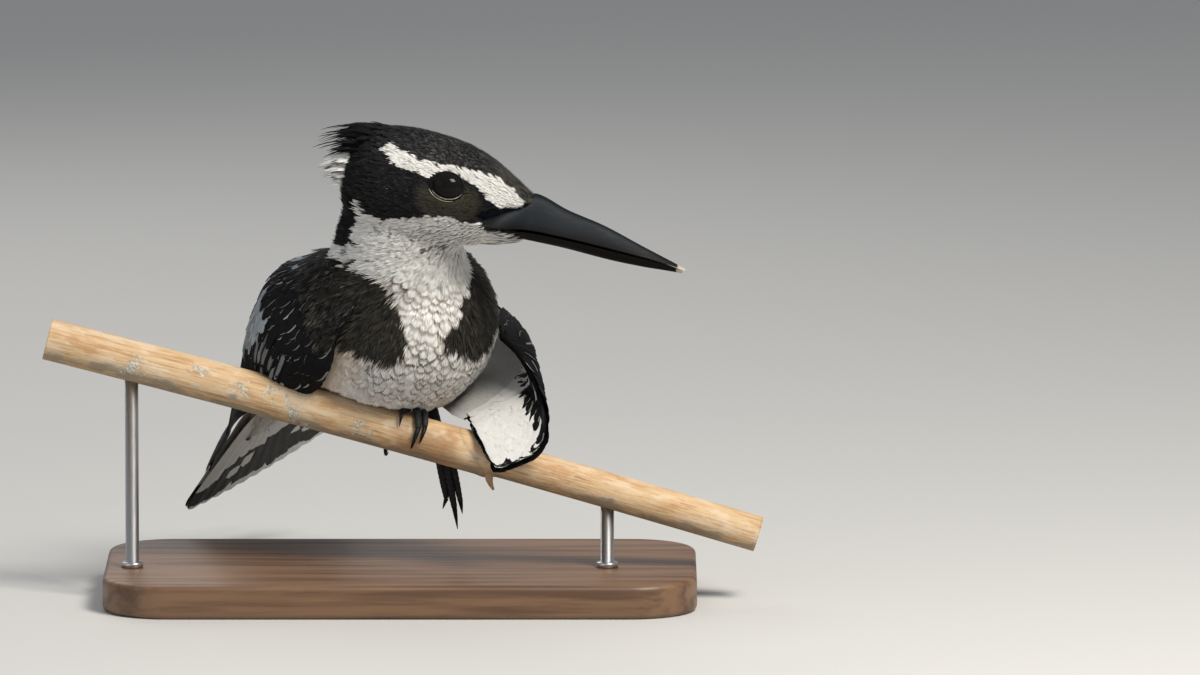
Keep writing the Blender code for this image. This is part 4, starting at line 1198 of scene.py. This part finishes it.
left_arm = sheets(left_wing_point, (0, 1, 33), (0, 30, 17), left_thickness, UNDER)
dark_front = (left_arm[0].vs < curve(DARK_EDGE, left_arm[0].us)[:, None]).reshape(-1, 1)
bed("wing_left_bed", left_arm, (np.where(dark_front, BLACK, WHITE * 0.8), BLACK), PALE,
    ("wing_left_arm",))


# How far back from the front edge the flight feathers start, and the secondaries and primaries reach
FLIGHT_START, SECONDARY_REACH, PRIMARY_REACH = 28.0, 68.0, 124.0


def secondary_surface(u, v):
    """The middle sheet of the feathers behind the arm."""
    reach = SECONDARY_REACH * (0.93 + 0.07 * math.sin(math.pi * u))
    return left_wing_point(0.77 * u, FLIGHT_START + (reach - FLIGHT_START) * v)


def primary_surface(u, v):
    """The middle sheet of the hand's feathers, which draw together to their tips."""
    reach = FLIGHT_START + (PRIMARY_REACH - FLIGHT_START - 26 * (1 - u) ** 1.5) * v
    s = 0.78 + 0.22 * u
    return left_wing_point(s + (0.9 - s) * 0.5 * v * v, reach)


def dark_end(share, across, which):
    """A dark end to the vane, at a place that differs from one to the next."""
    return (share - 0.80 - 0.05 * np.sin(which)) * 3 + 0.4 * (abs(across) - 0.8)


secondary_bed = sheets(secondary_surface, (0, 1, 21), (0, 0.97, 21), lambda u, v: 0.7, UNDER)
primary_bed = sheets(primary_surface, (0, 1, 13), (0, 0.97, 31), lambda u, v: 0.7, UNDER)
bed("wing_left_secondary_bed", secondary_bed, (WHITE * 0.8, BLACK), DARK, ("wing_left_secondaries",))
bed("wing_left_primary_bed", primary_bed, (WHITE * 0.8, BLACK), DARK, ("wing_left_primaries",))
for side, label in ((0, "under"), (1, "upper")):
    colours = ({"colour": WHITE * 0.75, "edge": BLACK * 4, "mark": dark_end},
               {"colour": BLACK * 1.4, "edge": WHITE * 0.8, "mark": bars})[side]
    row = np.linspace(0.04, 0.97, 12)
    flight("wing_left_secondaries_" + label, secondary_bed[side], row, 0 * row + 0.02, BACKWARD,
           length=40.0, width=8.5, depth=0.4, rise=0.05, seed=34 + side, stations=10, **colours)
    row = np.linspace(0.06, 0.94, 9)
    flight("wing_left_primaries_" + label, primary_bed[side], row, 0 * row + 0.02, BACKWARD,
           length=92 - 26 * (1 - row) ** 1.5, width=9.6 - 2.2 * side, depth=0.4, rise=0.05,
           seed=36 + side, stations=14, **colours)
coverts("wing_left_lining", left_arm[0], left_flow, gap=1.6, length=8.0, width=2.7, seed=38,
        paint_by=left_under_paint, mark=one_edge, slot=PALE, depth=0.35, tip=0.4, camber=40, shaft=0.03,
        columns=7)
coverts("wing_left_coverts", left_arm[1], left_flow, gap=2.5, length=9.0, width=4.8, seed=39,
        paint_by=left_upper_paint, mark=one_edge, slot=DARK, depth=0.8, tip=0.34, camber=14)


# Tail, fanned to the bird's left
TAIL_SPREAD = (-1.0, 43.5)
TAIL_DARK = np.array((0.017, 0.013, 0.009))


def tail_turn(u):
    return math.radians(TAIL_SPREAD[0] + (TAIL_SPREAD[1] - TAIL_SPREAD[0]) * u)


def tail_surface(u, v):
    """The tail's middle sheet: u runs across the fan, and v from root to tip."""
    turn = tail_turn(u)
    reach = TAIL_LENGTH * v
    return TAIL.at(-reach * math.cos(turn), (2 * u - 1) * TAIL_HALF_BASE + reach * math.sin(turn))


def tail_thickness(u, v):
    return 0.5 + 3.4 * (1 - v) ** 2


tail_faces = sheets(tail_surface, (0, 1, 25), (0, 0.93, 25), tail_thickness, -TAIL.up)
bed("tail_bed", tail_faces, (WHITE * 0.8, WHITE * 0.6), PALE, ("tail",))

# Start and end of the dark band of each tail feather, from the bird's right, and of a pale gap in it
TAIL_BANDS = (
    (0.80, 0.97, 0, 0), (0.66, 0.97, 0, 0), (0.60, 0.95, 0.72, 0.82), (0.58, 0.93, 0.64, 0.76),
    (0.60, 0.93, 0, 0), (0.55, 0.94, 0, 0), (0.53, 0.96, 0, 0), (0.50, 0.93, 0, 0),
    (0.52, 0.90, 0.62, 0.70), (0.54, 0.96, 0.70, 0.78), (0.56, 0.95, 0, 0), (0.62, 0.92, 0.76, 0.80),
)


def tail_mark(share, across, which):
    """A broad dark band before the tip of each tail feather, broken on some."""
    start, end, gap, close = np.array(TAIL_BANDS)[which % len(TAIL_BANDS)].T
    start = start + 0.03 * across * np.cos(which * 1.9) + 0.015 * np.sin(4 * across + which)
    end = end - 0.05 * (across * np.sin(which * 2.3) > 0.35)
    band = np.minimum(share - start, end - share)
    middle, half = (gap + close) / 2, np.maximum(close - gap, 0.02) / 2
    hole = np.where(close > 0, 0.07 * (1 - np.hypot((share - middle) / half, (across + 0.15) / 0.65)), -1)
    return np.minimum(band, -hole) * 7


def tail_feathers():
    """Twelve quills fanned on each face of the tail."""
    count, stations = 12, 14
    share = np.linspace(0, 1, stations)
    colours = (same(WHITE, count), same(TAIL_DARK, count), np.ones(count))
    for face, lift in (("under", -1.0), ("upper", 1.0)):
        rows = []
        for k, u in enumerate((np.arange(count) + 0.5) / count):
            turn = tail_turn(u)
            height = tail_thickness(u, share) / 2 + 0.12 + 0.05 * abs(k - 5.5)
            side = TAIL.way(math.sin(turn), math.cos(turn)) * lift
            rows.append((tail_surface(u, share) + lift * height[:, None] * TAIL.up, same(side, stations),
                         same(lift * TAIL.up, stations)))
        vanes("tail_" + face, [np.array(v) for v in zip(*rows)], np.full(count, 12.0), colours,
              tail_mark, PALE, columns=13, stations=22, camber=200.0, tip=0.12, bunch=1.7)


tail_feathers()

# ---------------------------------------------------------------- crest


# Fans of plumes: share along the fan, place and height of the root, place and height of the tip
BLACK_FAN = (
    (0, -27.5, 17.0, -46.4, 9.8), (0.33, -30.5, 14.5, -47.2, 6.6), (0.66, -33.0, 10.5, -47.2, 2.0),
    (1, -34.0, 6.0, -43.0, -0.9),
)
WHITE_FAN = (
    (0, -33.0, 4.5, -43.4, -1.4), (0.4, -33.0, 0.5, -43.8, -4.6), (0.7, -32.6, -3.5, -41.2, -7.5),
    (1, -32.0, -7.0, -35.6, -9.2),
)


def wisps(name, fan, many, reach, width, count, seed, white, spread, back, bow, **shape):
    """Loose plumes from the back of the head to the edge of the crest."""
    rng = np.random.default_rng(seed)
    share = rng.random(many)
    y = rng.normal(0, 1, many).clip(-2, 2)
    a, u, end_a, end_u = smooth(fan, share).T
    start, out = skin.nearest(HEAD.at(a + back, spread * y, u - 0.25 * y * y + 0.1 * back))
    start = start + 0.7 * out
    end = start + (HEAD.at(end_a, 0.6 * spread * y, end_u) - start) * rng.uniform(*reach, many)[:, None]
    t = np.linspace(0, 1, 8)[:, None]
    rise = (4 * t * (1 - t)) * (bow * rng.uniform(0.4, 1.6, many))[:, None, None]
    centre = start[:, None] * (1 - t) + end[:, None] * t + rise * HEAD.up
    way = unit(np.gradient(centre, axis=1))
    tilt = rng.normal(0.9, 0.5, many)[:, None, None]
    normal = HEAD.up * np.cos(tilt) - HEAD.left * np.sin(tilt)
    normal = unit(normal - way * (normal * way).sum(-1, keepdims=True))
    base = np.where((rng.random(many) < white)[:, None], WHITE * 1.12, BLACK)
    rim = np.broadcast_to(BLACK * 1.5, base.shape)
    tipped = (base[:, 0] > 0.1) & (share > 0.15) & (share < 0.75) & (rng.random(many) < 0.25)
    made = coat(name, (centre, np.cross(normal, way), normal), rng.uniform(*width, many),
                (base, rim, tipped * 1.0), cells(np.arange(many), many), rng, DARK, count, **shape)
    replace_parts(made, "crest")


wisps("crest_plumes", BLACK_FAN, many=60, reach=(0.62, 1.06), width=(0.6, 1.3), count=3, seed=51,
      white=0.0, spread=3.0, back=1.5, bow=2.0, soft=1.0, fray=0.3, point=0.3, neck=0.8)
wisps("crest_cover", BLACK_FAN, many=60, reach=(0.25, 0.6), width=(1.0, 1.9), count=5, seed=52,
      white=0.0, spread=3.6, back=3.5, bow=0.8, soft=1.6, fray=0.4, neck=0.6)
wisps("crest_white", WHITE_FAN, many=110, reach=(0.55, 1.05), width=(1.4, 2.8), count=8, seed=53,
      white=1.0, spread=2.0, back=1.5, bow=0.5, soft=1.8, fray=0.5, neck=0.6)

# ---------------------------------------------------------------- bill, eyes and feet


def horn_paint(name, colour, roughness):
    """Horn or bare skin, paler where it is worn."""
    paint = Paint(name, colour, roughness, Specular_IOR_Level=0.12)
    wear = paint.noise(0.9, 4.0, roughness=0.6)
    fine = paint.noise(0.25, 3.0, roughness=0.6)
    worn = tuple(3.2 * v for v in colour)
    paint.set("Base Color", paint.blend(colour, worn, paint.between(wear, 0.45, 0.8)))
    paint.set("Roughness", roughness + 0.25 * (fine - 0.4))
    return paint.bump(fine, 0.25, 0.1)


def bill_paint():
    """Black horn, painted bluer and paler along its top as a sheen and scratched there, with dust and a crust
    of dry mud at the tip.
    """
    paint = Paint("bill_horn", (0.006, 0.007, 0.009), 0.5, Specular_IOR_Level=0.09)
    scratch = paint.noise(0.7, 4.0, paint.attribute("horn", "Vector"), 0.65, (0.12, 1.0, 1.0))
    dust = paint.noise(0.8, 3.0, roughness=0.7)
    # painted sheen: how high on the upper half a point lies; there the horn is painted bluer and paler and its
    # scratches show
    above = paint.attribute("above")
    paint.set("Base Color", paint.layered(
        (0.0035, 0.003, 0.003),
        ((0.007, 0.010, 0.014), above),
        ((0.035, 0.048, 0.06), paint.between(scratch, 0.55, 0.85) * above * 0.45),
        ((0.30, 0.28, 0.24), paint.between(dust, 0.76, 0.80) * 0.7),
        ((0.42, 0.37, 0.29), paint.between(paint.attribute("mud") + dust - 0.5, 0.5, 0.6))))
    paint.set("Roughness", 0.44 + 0.3 * (scratch - 0.3))
    return paint.bump(scratch * 0.6 + dust, 0.35, 0.12)


BILL = bill_paint()
CLAW = horn_paint("claw_horn", (0.007, 0.007, 0.0075), 0.4)
FOOT = horn_paint("foot_skin", (0.014, 0.014, 0.015), 0.5)


def bill_half(name, knots, upper, node):
    """The upper or lower half of the bill, broader at its root, with an arched outside and a flat inside."""
    places = np.linspace(knots[0][0], knots[-1][0], 130)
    turns = turns_round(40)
    cos, sin = np.cos(turns), np.sin(turns)
    rings = []
    for place, (width, top, bottom) in zip(places, smooth(knots, places)):
        root = float(step(35, 22, place))
        width = width + (2.8 if upper else -1.2) * root
        bottom = bottom + (0 if upper else 1.1 * root)
        x = width * np.sign(cos) * abs(cos) ** 0.85
        arch = 1 - abs(x / width) ** ((1.5 if upper else 2.2) + 2.5 * root)
        flat = 1 - abs(x / width) ** 4
        middle = (bottom if upper else top) + (0.35 if upper else -0.3) * min(1.0, width / 3)
        high = middle + (top - middle) * (arch if upper else flat)
        low = middle + (bottom - middle) * (flat if upper else arch)
        rings.append(HEAD.at(place, x, np.where(sin >= 0, high, low)))
    points, loops, sizes = tube(rings)
    a, l, u = HEAD.local(points)
    lip = smooth(knots, np.clip(a, 15, 90))[:, 2 if upper else 1]
    # painted sheen on the top of the upper half, weaker at its root
    above = step(0.5, 4.0, u - lip) * (0.6 + 0.4 * step(15, 35, a)) if upper else 0 * a
    made = piece(name, points, loops, sizes, BILL, "horn", {"horn": np.column_stack([a, l, u]) * MM},
                 {"above": above, "mud": step(86.5, 90.5, a) * 0.9})
    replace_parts(made, node)


bill_half("upper_bill", UPPER_BILL_KNOTS, True, "bill_upper")
bill_half("lower_bill", LOWER_BILL_KNOTS, False, "bill_lower")


def tube_along(path, radii, rings, sides, ripple=0.0, scutes=9):
    """A round tube through points, with a radius at each, and rings of scales if asked."""
    path = np.asarray(path, float)
    reach = np.r_[0, np.cumsum(np.linalg.norm(np.diff(path, axis=0), axis=1))]
    places = np.linspace(0, reach[-1], rings)
    centres = smooth(np.column_stack([reach, path]), places)
    sizes = smooth(np.column_stack([reach, radii]), places)[:, 0]
    share = np.linspace(0, 1, rings)
    sizes = sizes * (1 + ripple * (abs(np.sin(math.pi * scutes * share)) ** 0.6 - 0.6))
    ways = unit(np.gradient(centres, axis=0))
    side = unit(np.cross(ways[0], (0.31, 0.9, 0.17)))
    made = []
    for centre, way, size in zip(centres, ways, sizes):
        side = unit(side - way * (side @ way))
        made.append(hoop(centre, size * side, size * np.cross(way, side), sides))
    return tube(made)


# Space between the toes and the perch
GAP = 0.3
# Toes of the right foot: start and end along the perch, start and end round it, size, and the claw's bend
RIGHT_TOES = (
    ("inner", 0.8, -1.6, 88, 58, 1.35, 34), ("middle", 3.2, 5.4, 88, 26, 1.6, 52),
    ("outer", 6.0, 7.6, 88, 34, 1.4, 40), ("hind", 2.0, -3.5, 108, 214, 1.45, 66),
)
BALL_LEFT = np.array((15.6, 13.4, -10.5))
# Toes of the left foot: start from its ball, end, the claw's tip, and size
LEFT_TOES = (
    ("inner", (-2.3, 0.2, 0.0), (16.3, 12.9, -26.0), (15.0, 11.6, -29.6), 1.45),
    ("middle", (0.0, 0.0, 0.0), (19.2, 12.8, -29.5), (20.3, 11.8, -37.0), 1.6),
    ("outer", (2.3, 0.4, 0.0), (21.4, 13.3, -27.5), (22.0, 12.2, -31.5), 1.4),
    ("hind", (0.4, 3.6, 1.5), (15.0, 19.5, -15.0), (15.6, 18.8, -20.0), 1.35),
)


def toe(side, label, path, radii):
    made = piece(side + "_toe_" + label, *tube_along(path, radii, rings=46, sides=16, ripple=0.1), FOOT,
                 "foot_skin")
    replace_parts(made, "toe_" + side + "_" + label)


def claw(side, label, path, radii):
    made = piece(side + "_claw_" + label, *tube_along(path, radii, rings=24, sides=14), CLAW, "horn")
    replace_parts(made, "claw_" + side + "_" + label)


for label, start, end, first, last, size, bend in RIGHT_TOES:
    shares = np.linspace(0, 1, 9)
    path = [on_perch(start + (end - start) * k, first + (last - first) * k, GAP + size * 1.05)
            for k in shares]
    sizes = np.array((0.85, 0.9, 0.76, 0.8, 0.6)) * size
    toe("right", label, path, np.interp(shares, (0, 0.25, 0.5, 0.75, 1), sizes))
    turn = math.copysign(1, last - first)
    path = [on_perch(end - 0.25 * (end - start) * k, last + turn * (2.5 + bend * k),
                     GAP + size * 1.1 * (1 - k) + 1.3 * math.sin(math.pi * k) + 0.3) for k in shares]
    sizes = (size * 0.6, size * 0.55, size * 0.42, size * 0.27, 0.1)
    claw("right", label, path, np.interp(shares, (0, 0.25, 0.5, 0.75, 1), sizes))
for label, offset, end, tip, size in LEFT_TOES:
    start, end, tip = BALL_LEFT + np.array(offset), np.array(end), np.array(tip)
    shares = np.linspace(0, 1, 7)
    path = [start + (end - start) * k for k in shares]
    toe("left", label, path, np.interp(shares, (0, 0.4, 0.75, 1), np.array((0.88, 0.9, 0.82, 0.62)) * size))
    bow = np.array((0.0, -0.5 if label == "hind" else 0.9, 0.0))
    first = end + unit(tip - end) * 0.2
    claw("left", label, [first, first * 0.55 + tip * 0.45 + bow, tip], [size * 0.58, size * 0.4, 0.12])
for label, hip, ankle in (
    ("right", (2.0, 5.0, 17.0), on_perch(3.2, 96, 2.9)), ("left", (8.8, 15.0, 14.0), BALL_LEFT),
):
    hip = np.array(hip)
    path = [hip + (ankle - hip) * k for k in (0, 0.5, 1)]
    shank = tube_along(path, [2.6, 2.2, 2.9], rings=50, sides=20, ripple=0.06, scutes=12)
    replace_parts(piece(label + "_leg", *shank, FOOT, "foot_skin"), "leg_" + label)

EYE = Paint("eye_glass", (0.006, 0.006, 0.007), 0.05, Specular_IOR_Level=0.09)
EYE.set("Base Color", EYE.blend((0.003, 0.0035, 0.005), (0.010, 0.008, 0.006), EYE.noise(2.0, 3.0)))
LID = horn_paint("lid_skin", (0.008, 0.008, 0.0075), 0.7)
PALE_LID = horn_paint("pale_lid_skin", (0.24, 0.23, 0.18), 0.6)
EYE_TILT = 12.0


def eye_axes(side):
    """The way an eye looks out, and its own up."""
    tilt = math.radians(EYE_TILT)
    out = side * HEAD.left * math.cos(tilt) + HEAD.up * math.sin(tilt)
    return out, np.cross(HEAD.forward, out) * side


def ring_of(path, size, sides, bead, beads):
    """A closed thin ring through points, thicker and thinner along its beads."""
    ring = []
    for k, p in enumerate(path):
        way = unit(path[(k + 1) % len(path)] - path[k - 1])
        across = unit(np.cross(way, HEAD.left))
        fat = size * (1 + bead * math.cos(2 * math.pi * beads * k / len(path)))
        ring.append(hoop(p, fat * across, fat * np.cross(across, way), sides))
    ring = np.array(ring)
    quads = grid_faces(len(ring), sides, True)
    last = grid_faces(2, sides, True)
    wrap = np.where(last < sides, last + (len(ring) - 1) * sides, last - sides)
    return ring.reshape(-1, 3), np.vstack([quads, wrap]), np.full(len(quads) + sides, 4)


for side, label in ((1, "left"), (-1, "right")):
    out, up = eye_axes(side)
    centre = HEAD.at(EYE_AT[0], side * 12.2, EYE_AT[1])
    disc = hoop(np.zeros(3), 6.5 * HEAD.forward, 5.1 * up, 64)
    rings = [centre + out * 5.0 * math.sin(turn) + math.cos(turn) * disc
             for turn in np.linspace(-math.pi / 2, math.pi / 2, 40)[1:-1]]
    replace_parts(piece(label + "_eye", *tube(rings), EYE, "eye"), "eye_" + label)
    ring = hoop(centre + out * 2.3, 5.9 * HEAD.forward, 4.65 * up, 192)
    piece(label + "_lids", *ring_of(ring, size=0.38, sides=8, bead=0.1, beads=60), LID, DARK)
    parts = []
    for wide, size, height, first, last, bead, beads in (
            (6.1, 0.15, 2.6, 190, 340, 0.1, 30), (6.9, 0.12, 2.7, 195, 300, 0.6, 20)):
        around = np.radians(np.linspace(first, last, 9))
        path = centre + out * height + wide * np.cos(around)[:, None] * HEAD.forward
        path = path + (wide - 1.25) * np.sin(around)[:, None] * up
        radii = size * np.array((0.4, 0.9, 1, 1, 1, 1, 1, 0.9, 0.4))
        parts.append(tube_along(path, radii, rings=120, sides=8, ripple=bead, scutes=beads))
    piece(label + "_lid_edge", *joined(parts), PALE_LID, "foot_skin")

# ---------------------------------------------------------------- perch and stand


def cane_paint():
    """Dry cane: fibres, dark cracks, grey droppings, a peeled stretch, the scar of a leaf sheath, and painted
    shade on its lower front.
    """
    paint = Paint("dry_cane", (0.5, 0.35, 0.2), 0.6, Specular_IOR_Level=0.25)
    cane = paint.attribute("cane", "Vector")
    fibre = paint.noise(1.0, 4.0, cane, 0.6, (0.05, 1.0, 1.0))
    fine = paint.noise(0.35, 3.0, cane, 0.6, (0.04, 1.0, 1.0))
    crack = paint.noise(0.55, 3.0, cane, 0.7, (0.03, 1.0, 1.0))
    blotch = paint.noise(5.0, 4.0, cane, 0.6, (0.4, 1.0, 1.0))
    spot_field = paint.noise(0.9, 4.0, cane, 0.7)
    # painted shade: the lower front, where more cracks and grey-brown patches are painted
    low = paint.attribute("low")
    flake = paint.noise(2.6, 5.0, cane, 0.65, (0.8, 1.0, 1.0))
    lime = paint.between(paint.attribute("dropping") + 2.6 * (flake - 0.5) + 0.7 * (spot_field - 0.5), 0.46, 0.60)
    chalk = paint.blend((0.30, 0.31, 0.26), (0.64, 0.61, 0.52), paint.between(spot_field, 0.42, 0.62))
    paint.set("Base Color", paint.layered(
        (0.60, 0.42, 0.24),
        ((0.36, 0.19, 0.085), paint.between(fibre, 0.46, 0.72) * 0.8),
        ((0.68, 0.55, 0.38), paint.between(fine, 0.5, 0.75) * 0.6),
        ((0.66, 0.53, 0.38), paint.between(blotch, 0.5, 0.62) * 0.7),
        ((0.42, 0.22, 0.10), paint.between(blotch + 0.5 * (fine - 0.5), 0.44, 0.34) * 0.6),
        ((0.25, 0.125, 0.05), paint.attribute("peel") * (0.45 + 1.2 * (fine - 0.4))),
        ((0.09, 0.05, 0.028), paint.between(crack + 0.1 * low, 0.68, 0.74) * 0.8),
        ((0.16, 0.10, 0.06), paint.between(spot_field, 0.70, 0.74) * 0.6),
        ((0.10, 0.06, 0.035), paint.attribute("scar")),
        # grey-brown patches, more of them on the lower front as painted shade
        ((0.20, 0.17, 0.13), paint.between(blotch + 0.35 * low, 0.68, 0.86) * 0.7),
        (chalk, lime * 0.85)))
    paint.set("Roughness", 0.5 + 0.25 * fine)
    return paint.bump(fine * 0.8 + fibre + 0.5 * lime - crack * 0.7, 0.7, 0.35)


CANE = cane_paint()
# Place along the perch, degrees up from its front, and reach along and round it, of each grey dropping
DROPPINGS = (
    (-37.5, -20, 7.0, 75), (-33.0, -40, 5.0, 40), (-57.0, 10, 6.0, 40), (-72.0, 30, 6.0, 30),
    (-14.0, -10, 7.0, 40), (-47.0, 20, 5.0, 45), (-95.0, -10, 8.0, 50),
)


def cane_marks(x, turn):
    """Droppings, peeled stretch, sheath scar and the lower front's painted shade, at places along and round the
    perch.
    """
    places = np.column_stack([x, np.radians(turn) * PERCH_RADIUS, 0 * x])
    wobble = value_noise(places, 2.2, 31)
    dropping = np.zeros(len(x))
    for along, high, wide, tall in DROPPINGS:
        dropping = np.maximum(dropping, 0.78 * (1 - np.hypot((x - along) / wide, (turn - high) / tall)))
    peel = step(-6, 2, x + 3 * wobble) * step(24, 16, x + 3 * wobble)
    peel = peel * step(55, 20, turn + 30 * wobble) * step(-75, -40, turn)
    line = 19.5 + 13.5 * step(70, -75, turn) + 0.6 * wobble
    scar = step(0.9, 0.2, abs(x - line)) * (abs(turn) < 80) * (0.3 + 0.25 * wobble)
    # painted shade: the lower front of the cane
    low = step(10, -60, turn) * step(-175, -120, turn)
    return {"dropping": dropping.clip(0, 1), "peel": peel, "scar": scar.clip(0, 1), "low": low}


def perch_piece():
    """The cane, with its places along and across it kept for its finish."""
    places = np.r_[np.linspace(PERCH_REACH[0], PERCH_NODE - 8, 300),
                   np.linspace(PERCH_NODE - 7.6, PERCH_NODE + 8, 60),
                   np.linspace(PERCH_NODE + 9, PERCH_REACH[1], 80)]
    sides = 72
    rings, straight = [], []
    for x in places:
        centre, _, front, top = perch_frame(x)
        size = perch_radius(x)
        rings.append(hoop(centre, size * front, size * top, sides))
        straight.append(hoop((x, 0, 0), (0, size, 0), (0, 0, size), sides))
    cane = np.vstack([np.array(straight).reshape(-1, 3), (places[0], 0, 0), (places[-1], 0, 0)])
    marks = cane_marks(cane[:, 0], np.degrees(np.arctan2(cane[:, 2], cane[:, 1])))
    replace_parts(piece("cane_perch", *tube(rings), CANE, "cane", {"cane": cane * MM}, marks), "perch")


perch_piece()
# The dry spur at the cane's node: place along from it, turn, distance out, radius
BUD = ((1.0, -42, -1.6, 2.2), (1.5, -52, 1.0, 1.5), (2.6, -62, 3.0, 0.95), (4.2, -70, 4.8, 0.4))
spur = tube_along([on_perch(PERCH_NODE + x, turn, away) for x, turn, away, _ in BUD],
                  [row[3] for row in BUD], rings=40, sides=20, ripple=0.12, scutes=5)
peeled = {"peel": np.full(len(spur[0]), 0.8)}
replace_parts(piece("cane_spur", *spur, CANE, "cane", {"cane": spur[0] * MM}, peeled), "perch_bud")

WOOD = Paint("stand_wood", (0.16, 0.09, 0.05), 0.4)
grain = WOOD.noise(6.0, 5.0, None, 0.6, (0.06, 1.0, 1.0))
WOOD.set("Base Color", WOOD.blend((0.19, 0.105, 0.055), (0.10, 0.05, 0.026), WOOD.between(grain, 0.4, 0.65)))
WOOD.set("Roughness", 0.34 + 0.2 * grain)
WOOD.bump(grain, 0.2, 0.2)
STEEL = Paint("brushed_steel", (0.55, 0.55, 0.56), 0.3, Metallic=1.0)
STEEL.set("Roughness", 0.22 + 0.2 * STEEL.noise(0.4, 3.0, None, 0.6, (1.0, 1.0, 0.05)))


BASE_HEIGHT = 12.0


def base_piece():
    """An oblong wooden base with round corners and eased edges."""
    length, width, corner, edge = 212.0, 112.0, 24.0, 2.0
    outline = []
    for k, (sx, sy) in enumerate(((1, 1), (-1, 1), (-1, -1), (1, -1))):
        for a in np.radians(np.linspace(90 * k, 90 * k + 90, 24)):
            outline.append((sx * (length / 2 - corner), sy * (width / 2 - corner), math.cos(a), math.sin(a)))
    outline = np.array(outline)
    turns = np.radians(np.linspace(0, 90, 8))
    profile = [(edge * (1 - math.sin(a)), edge * (1 - math.cos(a))) for a in turns]
    profile += [(inset, BASE_HEIGHT - z) for inset, z in reversed(profile)]
    rings = []
    for inset, z in profile:
        flat = outline[:, :2] + outline[:, 2:] * (corner - inset)
        rings.append(np.column_stack([flat, np.full(len(flat), z)]) - GRIP)
    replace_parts(piece("base_plate", *tube(rings), WOOD, "stand_wood"), "stand_base")


base_piece()
# Each rod stands on the base with a small foot, and ends in the underside of the perch
for label, x in (("left", -96.0), ("right", 74.0)):
    low, high = BASE_HEIGHT - GRIP[2] + 0.05, perch_frame(x)[0][2] - perch_radius(x) + 1.6
    profile = ((3.9, low), (3.9, low + 1.6), (3.6, low + 2.0), (2.4, low + 2.1), (2.4, high))
    rings = [hoop((x, 0, z), (r, 0, 0), (0, r, 0), 48) for r, z in profile]
    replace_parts(piece(label + "_rod", *tube(rings), STEEL, "steel"), "stand_rod_" + label)


# ---------------------------------------------------------------- camera, light and floor


def studio():
    """A wide pale floor, soft daylight all round, and three lamps."""
    mesh = bpy.data.meshes.new("floor")
    mesh.from_pydata([(-9, -9, 0), (9, -9, 0), (9, 9, 0), (-9, 9, 0)], [], [(0, 1, 2, 3)])
    mesh.materials.append(Paint("floor", (0.55, 0.545, 0.53), 0.85).material)
    put("floor", mesh)
    world = bpy.data.worlds.new("studio")
    world.use_nodes = True
    sky = world.node_tree.nodes["Background"].inputs
    sky["Color"].default_value = (0.80, 0.84, 0.90, 1.0)
    sky["Strength"].default_value = 0.36
    bpy.context.scene.world = world
    for name, way, power, size, colour in (
        ("key", (0.68, -0.80, 1.22), 21.0, 0.45, (1.0, 0.955, 0.88)),
        ("fill", (-1.0, -0.8, 0.35), 2.0, 1.0, (0.82, 0.90, 1.0)),
        ("back", (-0.4, 1.1, 0.9), 3.5, 0.8, (1.0, 0.98, 0.95)),
    ):
        light = bpy.data.lights.new(name, "AREA")
        light.energy, light.size, light.color = power, size, colour
        lamp = put(name, light)
        place = Vector(way).normalized() * 1.3
        lamp.location = Vector(GRIP * MM) + place
        lamp.rotation_euler = (-place).to_track_quat("-Z", "Y").to_euler()


def camera():
    """Seen from the front and a little above, from far away: far and across are in metres."""
    down = math.radians(8.0)
    look = np.array((71.4, 0.0, 34.08)) + GRIP
    back = np.array((0.0, -math.cos(down), math.sin(down)))
    far, across, sensor = 4.76, 0.4286, 36.0
    data = bpy.data.cameras.new("camera")
    data.sensor_width = sensor
    data.lens = sensor * far / across
    data.clip_start, data.clip_end = 0.1, 60.0
    made = put("camera", data)
    made.location = Vector(look * MM + back * far)
    made.rotation_euler = Vector(-back).to_track_quat("-Z", "Y").to_euler()
    bpy.context.scene.camera = made


studio()
camera()
bpy.context.scene.view_settings.view_transform = "Standard"
